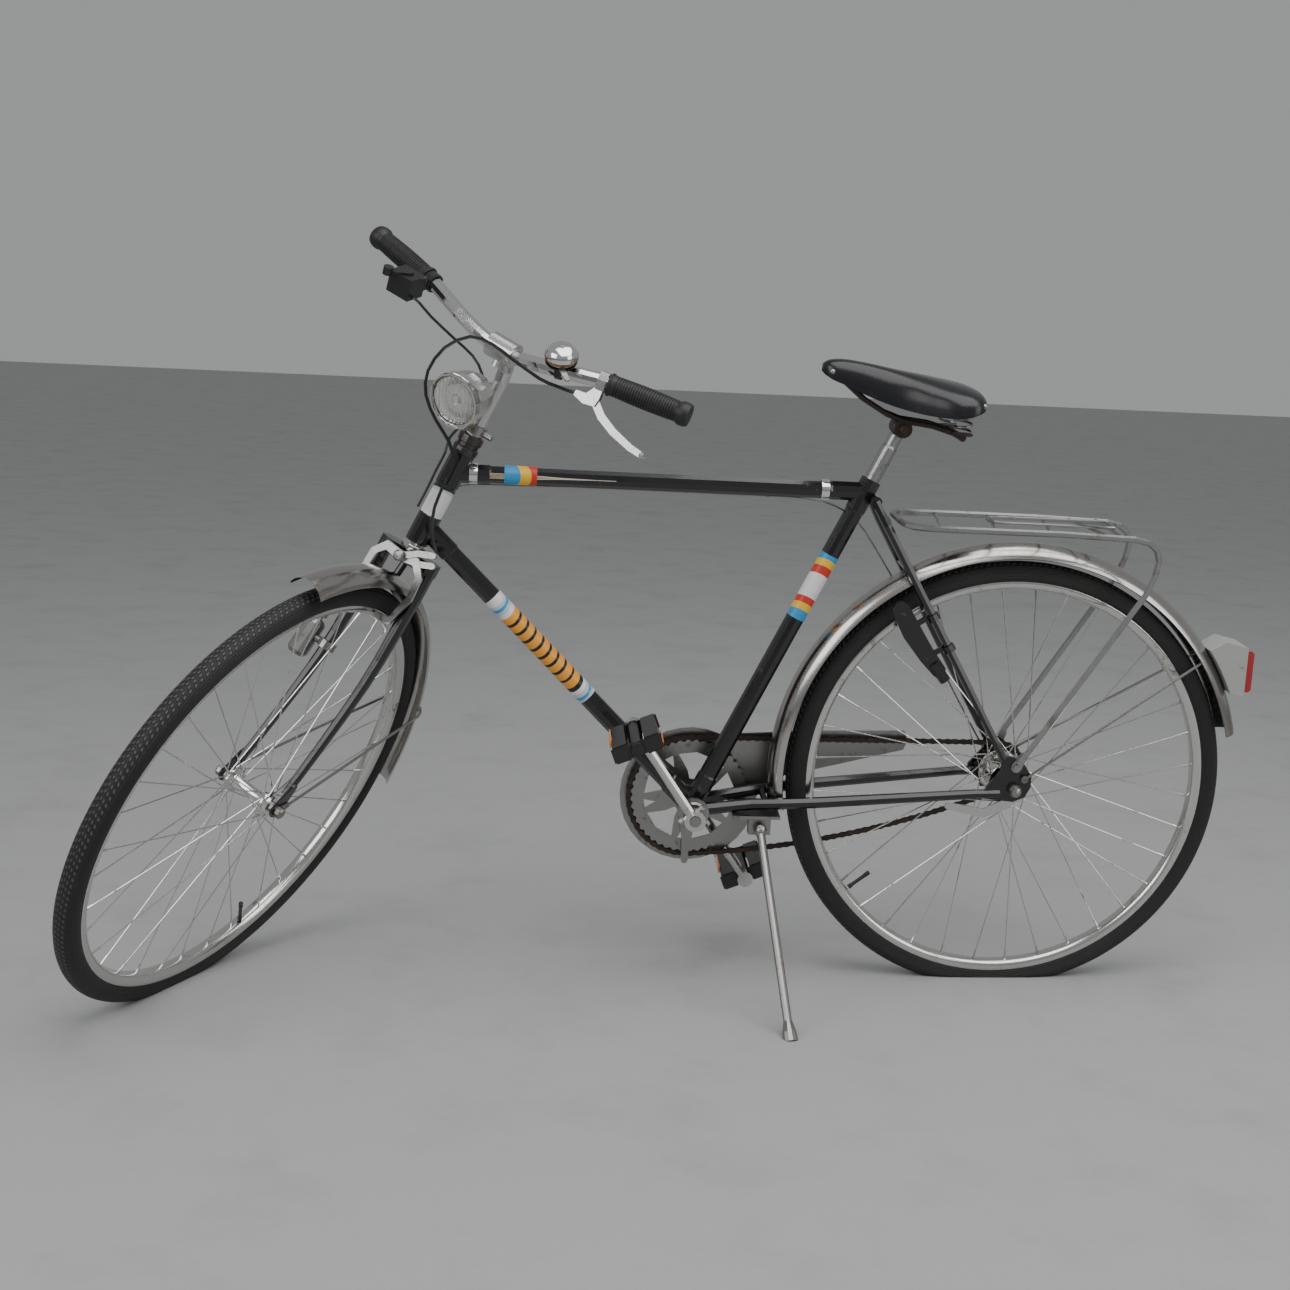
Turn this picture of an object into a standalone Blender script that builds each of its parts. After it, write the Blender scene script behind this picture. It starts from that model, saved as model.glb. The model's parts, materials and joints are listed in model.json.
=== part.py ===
"""Roadster bicycle resting on its side kickstand, built as separate pieces.

World frame: metres, +Z up, front of the bicycle toward -X, its left side toward -Y.
World origin: centre of the rear tyre's contact patch on the floor.
Every piece is laid out in the bicycle's own upright frame (origin on the rear axle,
+X back, -Y left, +Z up, steering straight); the pivots pose it at the end.
"""
import math

import bmesh
import bpy
from mathutils import Matrix, Vector
from mathutils.geometry import tessellate_polygon

GAP = 0.0003

# stance
LEAN = math.radians(4.0)
STEER = math.radians(61.4)
REAR_SINK = 0.019
FRONT_SINK = 0.0095

# frame geometry
HEAD_ANGLE = math.radians(65.0)
SEAT_ANGLE = math.radians(65.0)
BB_X = -0.491
BB_Z = -0.058
SEAT_TUBE = 0.555
SEAT_TUBE_END = 0.020
TOP_TUBE = 0.6175
HEAD_ABOVE = 0.033
HEAD_BELOW = 0.116
DOWN_TUBE_UP = 0.026
TOP_TUBE_R = 0.0135
MAIN_TUBE_R = 0.0145
HEAD_R = 0.0165
LUG_WALL = 0.0015
BB_SHELL_R = 0.0195
BB_SHELL_HALF = 0.034
DROPOUT_Y = 0.055
DROPOUT_T = 0.005

# steering
STEERER_R = 0.0127
FORK_LENGTH = 0.421
FORK_RAKE = 0.096
CUP_H = 0.015
LOCKNUT_H = 0.030
CROWN_H = 0.020
CROWN_DEPTH = 0.013
QUILL_R = 0.011
BAR_R = 0.0111
BAR_BULGE_R = 0.0127
GRIP_LENGTH = 0.1245
CLAMP_OUT = 0.0088

# wheels
TYRE_RING = 0.3295
TYRE_R = 0.018
RIM_EDGE = 0.317
RIM_IN = 0.303
WHEEL_STEPS = 40
SPOKES = 36
SPOKE_R = 0.00105
FENDER_RING = 0.346
FENDER_R = 0.030
FENDER_WALL = 0.0012

# drive
CRANK = 0.175
CRANK_REST = math.radians(55.0)
AXLE_R = 0.0085
RING_R = 0.0925
SPROCKET_R = 0.0398
CHAIN_Y = 0.043
CHAIN_WALL = 0.003

# saddle and stand
POST_R = 0.0125
SADDLE_AXIS = 0.6656
STAND_LEG_R = 0.0065

UP = Vector((math.cos(HEAD_ANGLE), 0, math.sin(HEAD_ANGLE)))
FWD = Vector((-math.sin(HEAD_ANGLE), 0, math.cos(HEAD_ANGLE)))
SEAT_UP = Vector((math.cos(SEAT_ANGLE), 0, math.sin(SEAT_ANGLE)))
LEFT = Vector((0, -1, 0))
BB = Vector((BB_X, 0, BB_Z))
CLUSTER = BB + SEAT_UP * SEAT_TUBE
HEAD_MID = CLUSTER - Vector((TOP_TUBE, 0, 0))
HEAD_TOP = HEAD_MID + UP * HEAD_ABOVE
HEAD_BOT = HEAD_MID - UP * HEAD_BELOW
HEAD_LENGTH = HEAD_ABOVE + HEAD_BELOW
FRONT_AXLE = HEAD_BOT - UP * FORK_LENGTH + FWD * FORK_RAKE
STAND_PIVOT = Vector((-0.3875, -0.046, -0.080))
STAND_FOOT = Vector((-0.355, -0.252, -0.310))
STAND_FOLDED = Vector((0.997, -0.05, 0.05)).normalized()

MATERIALS = {
    "black_paint": ((0.012, 0.012, 0.013, 1), 0.28, 0.0),
    "chrome": ((0.72, 0.70, 0.67, 1), 0.22, 1.0),
    "bright_chrome": ((0.82, 0.81, 0.79, 1), 0.14, 1.0),
    "dull_steel": ((0.42, 0.41, 0.39, 1), 0.42, 1.0),
    "zinc": ((0.38, 0.39, 0.38, 1), 0.50, 1.0),
    "aluminium": ((0.70, 0.69, 0.66, 1), 0.36, 1.0),
    "rusty_steel": ((0.16, 0.09, 0.055, 1), 0.70, 0.6),
    "dark_steel": ((0.10, 0.095, 0.09, 1), 0.48, 0.9),
    "tyre_rubber": ((0.018, 0.018, 0.018, 1), 0.85, 0.0),
    "grip_rubber": ((0.014, 0.014, 0.015, 1), 0.60, 0.0),
    "saddle_vinyl": ((0.013, 0.013, 0.015, 1), 0.30, 0.0),
    "black_plastic": ((0.015, 0.015, 0.016, 1), 0.40, 0.0),
    "clear_glass": ((0.80, 0.82, 0.80, 1), 0.08, 0.0),
    "red_lens": ((0.45, 0.012, 0.010, 1), 0.15, 0.0),
    "grey_paint": ((0.32, 0.32, 0.31, 1), 0.45, 0.0),
    "cable_black": ((0.016, 0.016, 0.017, 1), 0.50, 0.0),
    "cable_steel": ((0.35, 0.34, 0.32, 1), 0.40, 1.0),
}


def material(name):
    found = bpy.data.materials.get(name)
    if found:
        return found
    colour, rough, metal = MATERIALS[name]
    mat = bpy.data.materials.new(name)
    mat.use_nodes = True
    shader = mat.node_tree.nodes["Principled BSDF"]
    shader.inputs["Base Color"].default_value = colour
    shader.inputs["Roughness"].default_value = rough
    shader.inputs["Metallic"].default_value = metal
    mat.diffuse_color = colour
    return mat


def solid(bm):
    """Turn a closed bmesh into an object with outward faces."""
    bmesh.ops.recalc_face_normals(bm, faces=bm.faces[:])
    mesh = bpy.data.meshes.new("piece")
    bm.to_mesh(mesh)
    bm.free()
    obj = bpy.data.objects.new("piece", mesh)
    bpy.context.scene.collection.objects.link(obj)
    return obj


def basis(axis):
    axis = Vector(axis).normalized()
    side = Vector((0, 1, 0)) if abs(axis.y) < 0.9 else Vector((1, 0, 0))
    side = (side - axis * side.dot(axis)).normalized()
    return side, axis.cross(side), axis


def placement(origin, axis):
    """Matrix whose local Z runs along the axis from the origin."""
    side, other, axis = basis(axis)
    mat = Matrix((side, other, axis)).transposed().to_4x4()
    mat.translation = Vector(origin)
    return mat


def turned(origin, axis, profile, steps=16):
    """Turn (radius, height) pairs about an axis; radius 0 at both ends makes a full solid."""
    side, other, axis = basis(axis)
    origin = Vector(origin)
    bm = bmesh.new()
    rows = []
    for radius, height in profile:
        centre = origin + axis * height
        if radius == 0:
            rows.append([bm.verts.new(centre)])
            continue
        row = []
        for i in range(steps):
            angle = 2 * math.pi * i / steps
            row.append(bm.verts.new(centre + (side * math.cos(angle) + other * math.sin(angle)) * radius))
        rows.append(row)
    pairs = list(zip(rows, rows[1:]))
    if profile[0][0] > 0:
        pairs.append((rows[-1], rows[0]))
    for low, high in pairs:
        for i in range(steps):
            j = (i + 1) % steps
            if len(low) == 1:
                bm.faces.new((low[0], high[j], high[i]))
            elif len(high) == 1:
                bm.faces.new((low[i], low[j], high[0]))
            else:
                bm.faces.new((low[i], low[j], high[j], high[i]))
    return solid(bm)


def drum(origin, axis, radius, low, high, steps=16):
    return turned(origin, axis, [(0, low), (radius, low), (radius, high), (0, high)], steps)


def ring(origin, axis, inner, outer, low, high, steps=16):
    profile = [(inner, low), (outer, low), (outer, high), (inner, high)]
    return turned(origin, axis, profile, steps)


def tube(points, radius, sides=8, closed=False):
    """Sweep a round section, one radius or one per point, along a path."""
    points = [Vector(p) for p in points]
    count = len(points)
    radii = radius if isinstance(radius, (list, tuple)) else [radius] * count
    bm = bmesh.new()
    rows = []
    side = None
    for i, point in enumerate(points):
        before = points[i - 1] if (i or closed) else point
        after = points[(i + 1) % count] if (closed or i < count - 1) else point
        first = (point - before).normalized() if (point - before).length else Vector()
        second = (after - point).normalized() if (after - point).length else Vector()
        tangent = (first + second).normalized()
        if side is None:
            side = Vector((0, 1, 0)) if abs(tangent.y) < 0.8 else Vector((0, 0, 1))
        side = (side - tangent * side.dot(tangent)).normalized()
        other = tangent.cross(side)
        row = []
        for k in range(sides):
            angle = 2 * math.pi * (k + 0.5) / sides
            offset = side * math.cos(angle) + other * math.sin(angle)
            row.append(bm.verts.new(point + offset * radii[i]))
        rows.append(row)
    pairs = list(zip(rows, rows[1:]))
    if closed:
        pairs.append((rows[-1], rows[0]))
    for low, high in pairs:
        for k in range(sides):
            j = (k + 1) % sides
            bm.faces.new((low[k], low[j], high[j], high[k]))
    if not closed:
        bm.faces.new(rows[0][::-1])
        bm.faces.new(rows[-1])
    return solid(bm)


def smooth_path(points, steps=4):
    """Catmull-Rom curve through the points."""
    points = [Vector(p) for p in points]
    ends = [points[0] * 2 - points[1]] + points + [points[-1] * 2 - points[-2]]
    path = []
    for a, b, c, d in zip(ends, ends[1:], ends[2:], ends[3:]):
        for i in range(steps):
            t = i / steps
            path.append(0.5 * (2 * b + (c - a) * t + (2 * a - 5 * b + 4 * c - d) * t * t
                               + (3 * b - a - 3 * c + d) * t * t * t))
    return path + [points[-1]]


def plate(outline, low, high, holes=(), place=None):
    """Flat plate: outline (x, z) pairs with holes, from y = low to y = high."""
    loops = [[Vector((x, 0, z)) for x, z in loop] for loop in [outline, *holes]]
    flat = [[Vector((p.x, p.z, 0)) for p in loop] for loop in loops]
    triangles = tessellate_polygon(flat)
    bm = bmesh.new()
    near = []
    far = []
    for loop in loops:
        near.append([bm.verts.new(Vector((p.x, low, p.z))) for p in loop])
        far.append([bm.verts.new(Vector((p.x, high, p.z))) for p in loop])
    all_near = [v for loop in near for v in loop]
    all_far = [v for loop in far for v in loop]
    for a, b, c in triangles:
        bm.faces.new((all_near[a], all_near[b], all_near[c]))
        bm.faces.new((all_far[c], all_far[b], all_far[a]))
    for first, second in zip(near, far):
        for i in range(len(first)):
            j = (i + 1) % len(first)
            bm.faces.new((first[i], first[j], second[j], second[i]))
    if place:
        bm.transform(place)
    return solid(bm)


def circle(x, z, radius, steps=16):
    return [(x + radius * math.cos(2 * math.pi * i / steps),
             z + radius * math.sin(2 * math.pi * i / steps)) for i in range(steps)]


def strip(path, half, end_steps=4):
    """Outline of a flat strip with rounded ends around a path of (x, z) pairs."""
    pts = [Vector(p) for p in path]
    halves = half if isinstance(half, (list, tuple)) else [half] * len(pts)
    left = []
    right = []
    for i, point in enumerate(pts):
        before = pts[max(i - 1, 0)]
        after = pts[min(i + 1, len(pts) - 1)]
        ahead = (after - before).normalized()
        normal = Vector((-ahead.y, ahead.x))
        left.append(point + normal * halves[i])
        right.append(point - normal * halves[i])
    outline = list(left)
    outline += half_turn(pts[-1], pts[-1] - pts[-2], halves[-1], end_steps)
    outline += right[::-1]
    outline += half_turn(pts[0], pts[0] - pts[1], halves[0], end_steps)
    return [(p.x, p.y) for p in outline]


def half_turn(centre, outward, radius, steps):
    start = math.atan2(outward.y, outward.x) + math.pi / 2
    points = []
    for i in range(1, steps):
        angle = start - math.pi * i / steps
        points.append(centre + Vector((math.cos(angle), math.sin(angle))) * radius)
    return points


def block(low, high):
    outline = [(low[0], low[2]), (high[0], low[2]), (high[0], high[2]), (low[0], high[2])]
    return plate(outline, low[1], high[1])


def boolean(base, other, operation):
    mod = base.modifiers.new("join", "BOOLEAN")
    mod.operation = operation
    mod.solver = "EXACT"
    mod.object = other
    graph = bpy.context.evaluated_depsgraph_get()
    mesh = bpy.data.meshes.new_from_object(base.evaluated_get(graph))
    base.modifiers.clear()
    base.data = mesh
    bpy.data.objects.remove(other)
    return base


def fuse(base, *others):
    for other in others:
        boolean(base, other, "UNION")
    return base


def cut(base, *others):
    for other in others:
        boolean(base, other, "DIFFERENCE")
    return base


def merge(objects):
    """Join loose solids into one operand."""
    bm = bmesh.new()
    for obj in objects:
        bm.from_mesh(obj.data)
        bpy.data.objects.remove(obj)
    return solid(bm)


class Pivot:
    """Empty on a joint axis; its local Z is the axis and its pose is applied once."""

    def __init__(self, name, origin, axis, parent=None, pose=0.0):
        self.rest = placement(origin, axis) if axis else Matrix.Translation(Vector(origin))
        self.empty = bpy.data.objects.new(name, None)
        self.empty.empty_display_size = 0.03
        bpy.context.scene.collection.objects.link(self.empty)
        self.empty.rotation_mode = "QUATERNION"
        self.local = self.rest.copy()
        if parent:
            self.empty.parent = parent.empty
            self.local = parent.rest.inverted() @ self.rest
        self.empty.matrix_basis = self.local @ Matrix.Rotation(pose, 4, "Z")


def finish(obj, name, mat, pivot, angle=35.0):
    """Name a piece, give it its material and hang it on its pivot."""
    obj.name = name
    obj.data.name = name
    bm = bmesh.new()
    bm.from_mesh(obj.data)
    bmesh.ops.remove_doubles(bm, verts=bm.verts[:], dist=0.000001)
    bm.transform(pivot.rest.inverted())
    bm.to_mesh(obj.data)
    bm.free()
    obj.data.materials.clear()
    own = material(mat).copy()
    own.name = name + "_" + mat
    obj.data.materials.append(own)
    for poly in obj.data.polygons:
        poly.use_smooth = True
    obj.data.set_sharp_from_angle(angle=math.radians(angle))
    obj.parent = pivot.empty
    return obj


def bore(radius, steps):
    """Vertex radius of a faceted hole whose flats stay one gap off the shaft."""
    return (radius + GAP) / math.cos(math.pi / steps)


def on_steerer(down, ahead=0.0, y=0.0):
    """Point at a distance below the head tube's lower end and ahead of the steering axis."""
    return HEAD_BOT - UP * down + FWD * ahead + Vector((0, y, 0))


def on_seat_tube(up, back=0.0):
    normal = Vector((SEAT_UP.z, 0, -SEAT_UP.x))
    return BB + SEAT_UP * up + normal * back


# ---------------------------------------------------------------- frame

def lugged(length, radius):
    """Profile of a tube whose two ends sit in slightly larger lugs."""
    sleeve = radius + LUG_WALL
    return [(0, 0), (sleeve, 0), (sleeve, 0.053), (radius, 0.056), (radius, length - 0.055),
            (sleeve, length - 0.052), (sleeve, length), (0, length)]


def build_frame(pivot):
    stays = []
    chain_path = [(-0.478, 0.024, -0.056), (-0.402, 0.0303, -0.0435), (-0.355, 0.0392, -0.0385),
                  (-0.30, 0.0445, -0.0335), (-0.06, 0.056, -0.010), (-0.022, 0.0575, -0.008)]
    chain_radii = [0.0095, 0.0087, 0.0086, 0.0085, 0.0072, 0.0070]
    seat_path = [(-0.243, 0.0235, 0.433), (-0.225, 0.036, 0.400), (-0.020, 0.0575, 0.048)]
    drop = [(-0.045, -0.016), (0.0, -0.020), (0.018, -0.012), (0.026, 0.004), (0.026, 0.022),
            (0.012, 0.042), (-0.006, 0.052), (-0.024, 0.052), (-0.022, 0.030), (-0.045, 0.002)]
    for side in (-1, 1):
        def on_side(path):
            return [(x, side * y, z) for x, y, z in path]
        near = side * DROPOUT_Y
        far = side * (DROPOUT_Y + DROPOUT_T)
        axle_hole = circle(0, 0, 0.0054, 10)
        stays.append(plate(drop, min(near, far), max(near, far), [axle_hole]))
        stays.append(tube(on_side(chain_path), chain_radii, 8))
        stays.append(tube(on_side(seat_path), [0.0075, 0.0075, 0.006], 7))
    boss = drum((-0.243, 0, 0.433), LEFT, 0.009, -0.027, 0.027, 12)
    seat_bridge = drum((-0.1866, 0, 0.3330), LEFT, 0.005, -0.040, 0.040, 8)
    chain_bridge = drum((-0.3798, 0, -0.0410), LEFT, 0.005, -0.034, 0.034, 8)
    lug = HEAD_R + LUG_WALL
    head = turned(HEAD_BOT, UP, [
        (0, 0), (lug, 0), (lug, 0.044), (HEAD_R, 0.047), (HEAD_R, HEAD_LENGTH - 0.055),
        (lug, HEAD_LENGTH - 0.052), (lug, HEAD_LENGTH), (0, HEAD_LENGTH)], 14)
    down_top = on_steerer(-DOWN_TUBE_UP)
    down_dir = (BB - down_top).normalized()
    pieces = [
        turned(HEAD_MID, (1, 0, 0), lugged(TOP_TUBE, TOP_TUBE_R), 10),
        turned(down_top, down_dir, lugged((BB - down_top).length, MAIN_TUBE_R), 10),
        turned(BB, SEAT_UP, lugged(SEAT_TUBE + SEAT_TUBE_END, MAIN_TUBE_R), 12),
        drum(BB, LEFT, BB_SHELL_R, -BB_SHELL_HALF, BB_SHELL_HALF, 14),
        boss, seat_bridge, chain_bridge, *stays,
    ]
    frame = fuse(head, *pieces)
    cut(frame,
        drum(HEAD_BOT, UP, 0.0145, -0.01, HEAD_LENGTH + 0.01, 12),
        turned(BB, LEFT, [(0, -0.05), (bore(AXLE_R, 13), -0.05), (bore(AXLE_R, 13), -0.030),
                          (0.0165, -0.030), (0.0165, 0.05), (0, 0.05)], 13),
        drum(on_seat_tube(0.425), SEAT_UP, bore(POST_R, 16), 0, 0.20, 16))
    finish(frame, "frame", "black_paint", pivot)

    hole = bore(AXLE_R, 14)
    cup = turned(BB, LEFT, [(hole, 0.0310), (0.0157, 0.0310), (0.0157, 0.0343),
                            (0.0245, 0.0343), (0.0245, 0.0385), (0.0190, 0.0395),
                            (0.0160, 0.0415), (hole, 0.0415)], 14)
    finish(cup, "bb_cup_left", "dull_steel", pivot)

    lower = turned(HEAD_BOT, UP, [(bore(STEERER_R, 14), -CUP_H + GAP), (0.0185, -CUP_H + GAP),
                                  (0.0200, -0.0085),
                                  (0.0200, -0.0060), (0.0180, -0.0045), (0.0180, -GAP),
                                  (bore(STEERER_R, 14), -GAP)], 14)
    finish(lower, "headset_lower_cup", "chrome", pivot)


def build_rear_axle(pivot):
    axle = turned((0, 0, 0), LEFT, [
        (0, -0.0735), (0.0080, -0.0725), (0.0105, -0.0690), (0.0105, -DROPOUT_Y - DROPOUT_T - GAP),
        (0.005, -DROPOUT_Y - DROPOUT_T - GAP), (0.005, -DROPOUT_Y + GAP), (0.0095, -DROPOUT_Y + GAP),
        (0.0095, -0.0453), (0.005, -0.0453), (0.005, 0.0453), (0.0095, 0.0453), (0.0095, 0.0519),
        (0.005, 0.0519), (0.005, DROPOUT_Y + DROPOUT_T + GAP), (0.0105, DROPOUT_Y + DROPOUT_T + GAP),
        (0.0105, 0.0690), (0.0075, 0.0750), (0, 0.0780)], 9)
    finish(axle, "rear_axle", "dull_steel", pivot)

    path = [(0, 0), (-0.006, -0.024), (-0.043, -0.041), (-0.100, -0.031)]
    arm = plate(strip(path, [0.0095, 0.0085, 0.0075, 0.0055]), -0.0547, -0.0522,
                [circle(0, 0, 0.0053, 12)])
    finish(arm, "coaster_arm", "aluminium", pivot)


# ---------------------------------------------------------------- wheels

def tyre_profile(steps=7):
    points = []
    for i in range(steps + 1):
        angle = math.radians(-130 + 260 * i / steps)
        points.append((TYRE_RING + TYRE_R * math.cos(angle), TYRE_R * math.sin(angle)))
    return points + [(0.3176, 0.0107), (0.3113, 0.0107), (0.3113, -0.0107), (0.3176, -0.0107)]


def build_wheel(prefix, centre, pivot, flange_y, flange_r, shell_r, hub_half, hole_r, thread):
    tyre = turned(centre, LEFT, tyre_profile(), WHEEL_STEPS)
    finish(tyre, prefix + "_tyre", "tyre_rubber", pivot, 50)
    rim = turned(centre, LEFT, [
        (RIM_EDGE, -0.0125), (RIM_EDGE, -0.0110), (0.3110, -0.0110), (0.3110, 0.0110),
        (RIM_EDGE, 0.0110), (RIM_EDGE, 0.0125), (0.3090, 0.0125), (RIM_IN, 0.0060),
        (RIM_IN, -0.0060), (0.3090, -0.0125)], WHEEL_STEPS)
    finish(rim, prefix + "_rim", "chrome", pivot, 50)
    low, high = flange_y - 0.0027, flange_y + 0.0027
    half_profile = [(shell_r, low), (flange_r, low), (flange_r, high), (0.0138, high + 0.0006),
                    (0.0138, hub_half), (thread, hub_half)]
    profile = [(r, -y) for r, y in half_profile[::-1]] + half_profile
    hub = turned(centre, LEFT, profile, 15)
    spokes = []
    for k in range(SPOKES):
        side = 1 if k % 2 else -1
        row = (k // 2) % 2
        turn = math.radians(60) * (1 if row else -1)
        rim_angle = 2 * math.pi * (k + 0.5) / SPOKES
        hub_angle = rim_angle + turn
        hub_y = side * (flange_y + (0.0013 if row else -0.0013))
        start = centre + Vector((hole_r * math.cos(hub_angle), hub_y, hole_r * math.sin(hub_angle)))
        end_r = RIM_IN * math.cos(math.pi / WHEEL_STEPS) - 0.0004
        end_y = side * (0.0022 if row else 0.0006)
        end = centre + Vector((end_r * math.cos(rim_angle), end_y, end_r * math.sin(rim_angle)))
        spokes.append(tube([start, end], SPOKE_R, 4))
    boolean(hub, merge(spokes), "UNION")
    finish(hub, prefix + "_hub", "chrome", pivot)


def fender_shell(centre, start, end, steps):
    """Curved strip of C section around a wheel, from one angle to the other."""
    bm = bmesh.new()
    rows = []
    for i in range(steps + 1):
        angle = math.radians(start + (end - start) * i / steps)
        ray = Vector((math.cos(angle), 0, math.sin(angle)))
        row = []
        for radius, sweep in ((FENDER_R, range(-2, 3)), (FENDER_R - FENDER_WALL, range(2, -3, -1))):
            for k in sweep:
                bend = math.radians(70) * k / 2
                row.append(bm.verts.new(Vector(centre) + ray * (FENDER_RING + radius * math.cos(bend))
                                        + Vector((0, radius * math.sin(bend), 0))))
        rows.append(row)
    count = len(rows[0])
    for low, high in zip(rows, rows[1:]):
        for k in range(count):
            j = (k + 1) % count
            bm.faces.new((low[k], low[j], high[j], high[k]))
    bm.faces.new(rows[0][::-1])
    bm.faces.new(rows[-1])
    return solid(bm)


def stay_wire(centre, start, direction, start_y, arc_r, sweep):
    """U-shaped wire from both ends of an axle, bent round the crown of a fender."""
    ray = Vector((math.cos(direction), 0, math.sin(direction)))
    centre = Vector(centre)
    start = Vector(start)
    path = [start + Vector((0, -start_y, 0))]
    for i in range(9):
        bend = math.radians(sweep * (i - 4) / 4)
        path.append(centre + ray * (FENDER_RING + arc_r * math.cos(bend))
                    + Vector((0, arc_r * math.sin(bend), 0)))
    path.append(start + Vector((0, start_y, 0)))
    return tube(path, 0.0022, 6)


def build_fenders(pivot, steering):
    rear = fender_shell((0, 0, 0), 13.4, 188.7, 36)
    finish(rear, "rear_fender", "chrome", pivot, 50)
    front = fender_shell(FRONT_AXLE, -26.0, 86.5, 23)
    finish(front, "front_fender", "chrome", steering, 50)

    start = Vector((0.014, 0, 0.018))
    inside = (FENDER_R - FENDER_WALL) * math.cos(math.radians(17.5)) - 0.0029
    stay = stay_wire((0, 0, 0), start, math.radians(34.4), 0.0640, inside, 92)
    for side in (-1, 1):
        low = DROPOUT_Y + DROPOUT_T + GAP
        fuse(stay, drum(start, (0, side, 0), 0.0058, low, low + 0.0058, 10))
    finish(stay, "rear_fender_stay", "dull_steel", pivot)

    angle = math.radians(-4.0)
    ray = Vector((math.cos(angle), 0, math.sin(angle)))
    outside = FENDER_R + 0.0032
    stay = stay_wire(FRONT_AXLE, FRONT_AXLE + ray * 0.0180, angle, 0.0533, outside, 80)
    for side in (-1, 1):
        a = Vector((FRONT_AXLE.x, FRONT_AXLE.z))
        b = a + Vector((ray.x, ray.z)) * 0.022
        hole = circle(a.x, a.y, 0.0048, 12)
        low, high = sorted((side * 0.0523, side * 0.0543))
        fuse(stay, plate(strip([a, b], [0.0080, 0.0050]), low, high, [hole]))
    finish(stay, "front_fender_stay", "dull_steel", steering)


# ---------------------------------------------------------------- steering

def build_fork(pivot):
    fork = drum(HEAD_BOT, UP, STEERER_R, -CUP_H - 0.010, HEAD_LENGTH + 0.028, 20)
    crown_outline = [(-CROWN_DEPTH, -0.040), (-CROWN_DEPTH, 0.040), (-0.006, 0.052), (0.006, 0.052),
                     (CROWN_DEPTH, 0.040), (CROWN_DEPTH, -0.040), (0.006, -0.052), (-0.006, -0.052)]
    place = Matrix((FWD, -UP, Vector((0, 1, 0)))).transposed().to_4x4()
    place.translation = HEAD_BOT
    crown = plate(crown_outline, CUP_H, CUP_H + CROWN_H, (), place)
    bend = [(0.020, 0.0), (0.070, 0.001), (0.12, 0.005), (0.18, 0.011), (0.22, 0.019), (0.27, 0.034),
            (0.32, 0.052), (0.37, 0.071), (0.400, 0.0847)]
    for sign in (-1, 1):
        path = []
        radii = []
        for down, ahead in bend:
            t = min(max((down - 0.03) / 0.38, 0), 1)
            path.append(on_steerer(down, ahead, sign * (0.041 + 0.0045 * t)))
            radii.append(0.011 - 0.005 * t)
        crown = fuse(crown, tube(path, radii, 8))
        tip = path[-1]
        low, high = sorted((sign * 0.048, sign * 0.052))
        outline = strip([(tip.x + 0.012, tip.z + 0.010), (tip.x, tip.z),
                         (FRONT_AXLE.x, FRONT_AXLE.z)], [0.006, 0.009, 0.012])
        hole = circle(FRONT_AXLE.x, FRONT_AXLE.z, 0.0048, 12)
        crown = fuse(crown, plate(outline, low, high, [hole]))
    fork = fuse(fork, crown)
    to_axle = (FRONT_AXLE - on_steerer(0.030)).normalized()
    reach = (FRONT_AXLE - on_steerer(0.030)).length - FENDER_RING - FENDER_R - GAP
    fork = fuse(fork, drum(on_steerer(0.030), to_axle, 0.006, 0, reach, 10))
    finish(fork, "fork", "black_paint", pivot)

    nut = turned(HEAD_TOP, UP, [(bore(STEERER_R, 14), GAP), (0.0185, GAP), (0.0195, 0.004), (0.0195, 0.010),
                                (0.0170, 0.012), (0.0170, 0.017), (0.0190, 0.018), (0.0190, 0.029),
                                (0.0175, LOCKNUT_H), (bore(STEERER_R, 14), LOCKNUT_H)], 14)
    finish(nut, "headset_locknut", "dark_steel", pivot)

    axle = turned(FRONT_AXLE, LEFT, [
        (0, -0.0640), (0.0065, -0.0630), (0.0090, -0.0600), (0.0090, -0.0546), (0.0045, -0.0546),
        (0.0045, -0.0477), (0.0080, -0.0477), (0.0080, -0.0405), (0.0045, -0.0405), (0.0045, 0.0405),
        (0.0080, 0.0405), (0.0080, 0.0477), (0.0045, 0.0477), (0.0045, 0.0546), (0.0090, 0.0546),
        (0.0090, 0.0600), (0.0065, 0.0630), (0, 0.0640)], 9)
    finish(axle, "front_axle", "dull_steel", pivot)


BAR_CENTRE = Vector((-0.828, 0, 0.643))
BAR_KNEE = Vector((-0.808, 0.150, 0.668))
BAR_END = Vector((-0.781, 0.283, 0.675))


def side_of(point, side):
    return Vector((point.x, side * point.y, point.z))


def on_bar(distance, side):
    """Point on the straight outer part of the handlebar, and its outward direction."""
    knee = side_of(BAR_KNEE, side)
    ahead = (side_of(BAR_END, side) - knee).normalized()
    return knee + ahead * distance, ahead


def bar_point(y):
    """Point of the handlebar centre line at a given distance from the middle, left side."""
    path = half_bar()
    for a, b in zip(path, path[1:]):
        if a.y <= y <= b.y:
            point = a.lerp(b, (y - a.y) / (b.y - a.y))
            return side_of(point, -1), side_of((b - a).normalized(), -1)
    return side_of(path[-1], -1), Vector((0, -1, 0))


def half_bar():
    points = [BAR_CENTRE + Vector((0, 0.027, 0)), Vector((-0.8285, 0.050, 0.648)),
              Vector((-0.8235, 0.090, 0.6575)), BAR_KNEE]
    path = smooth_path(points, 2)
    return path + [BAR_END]


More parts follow.
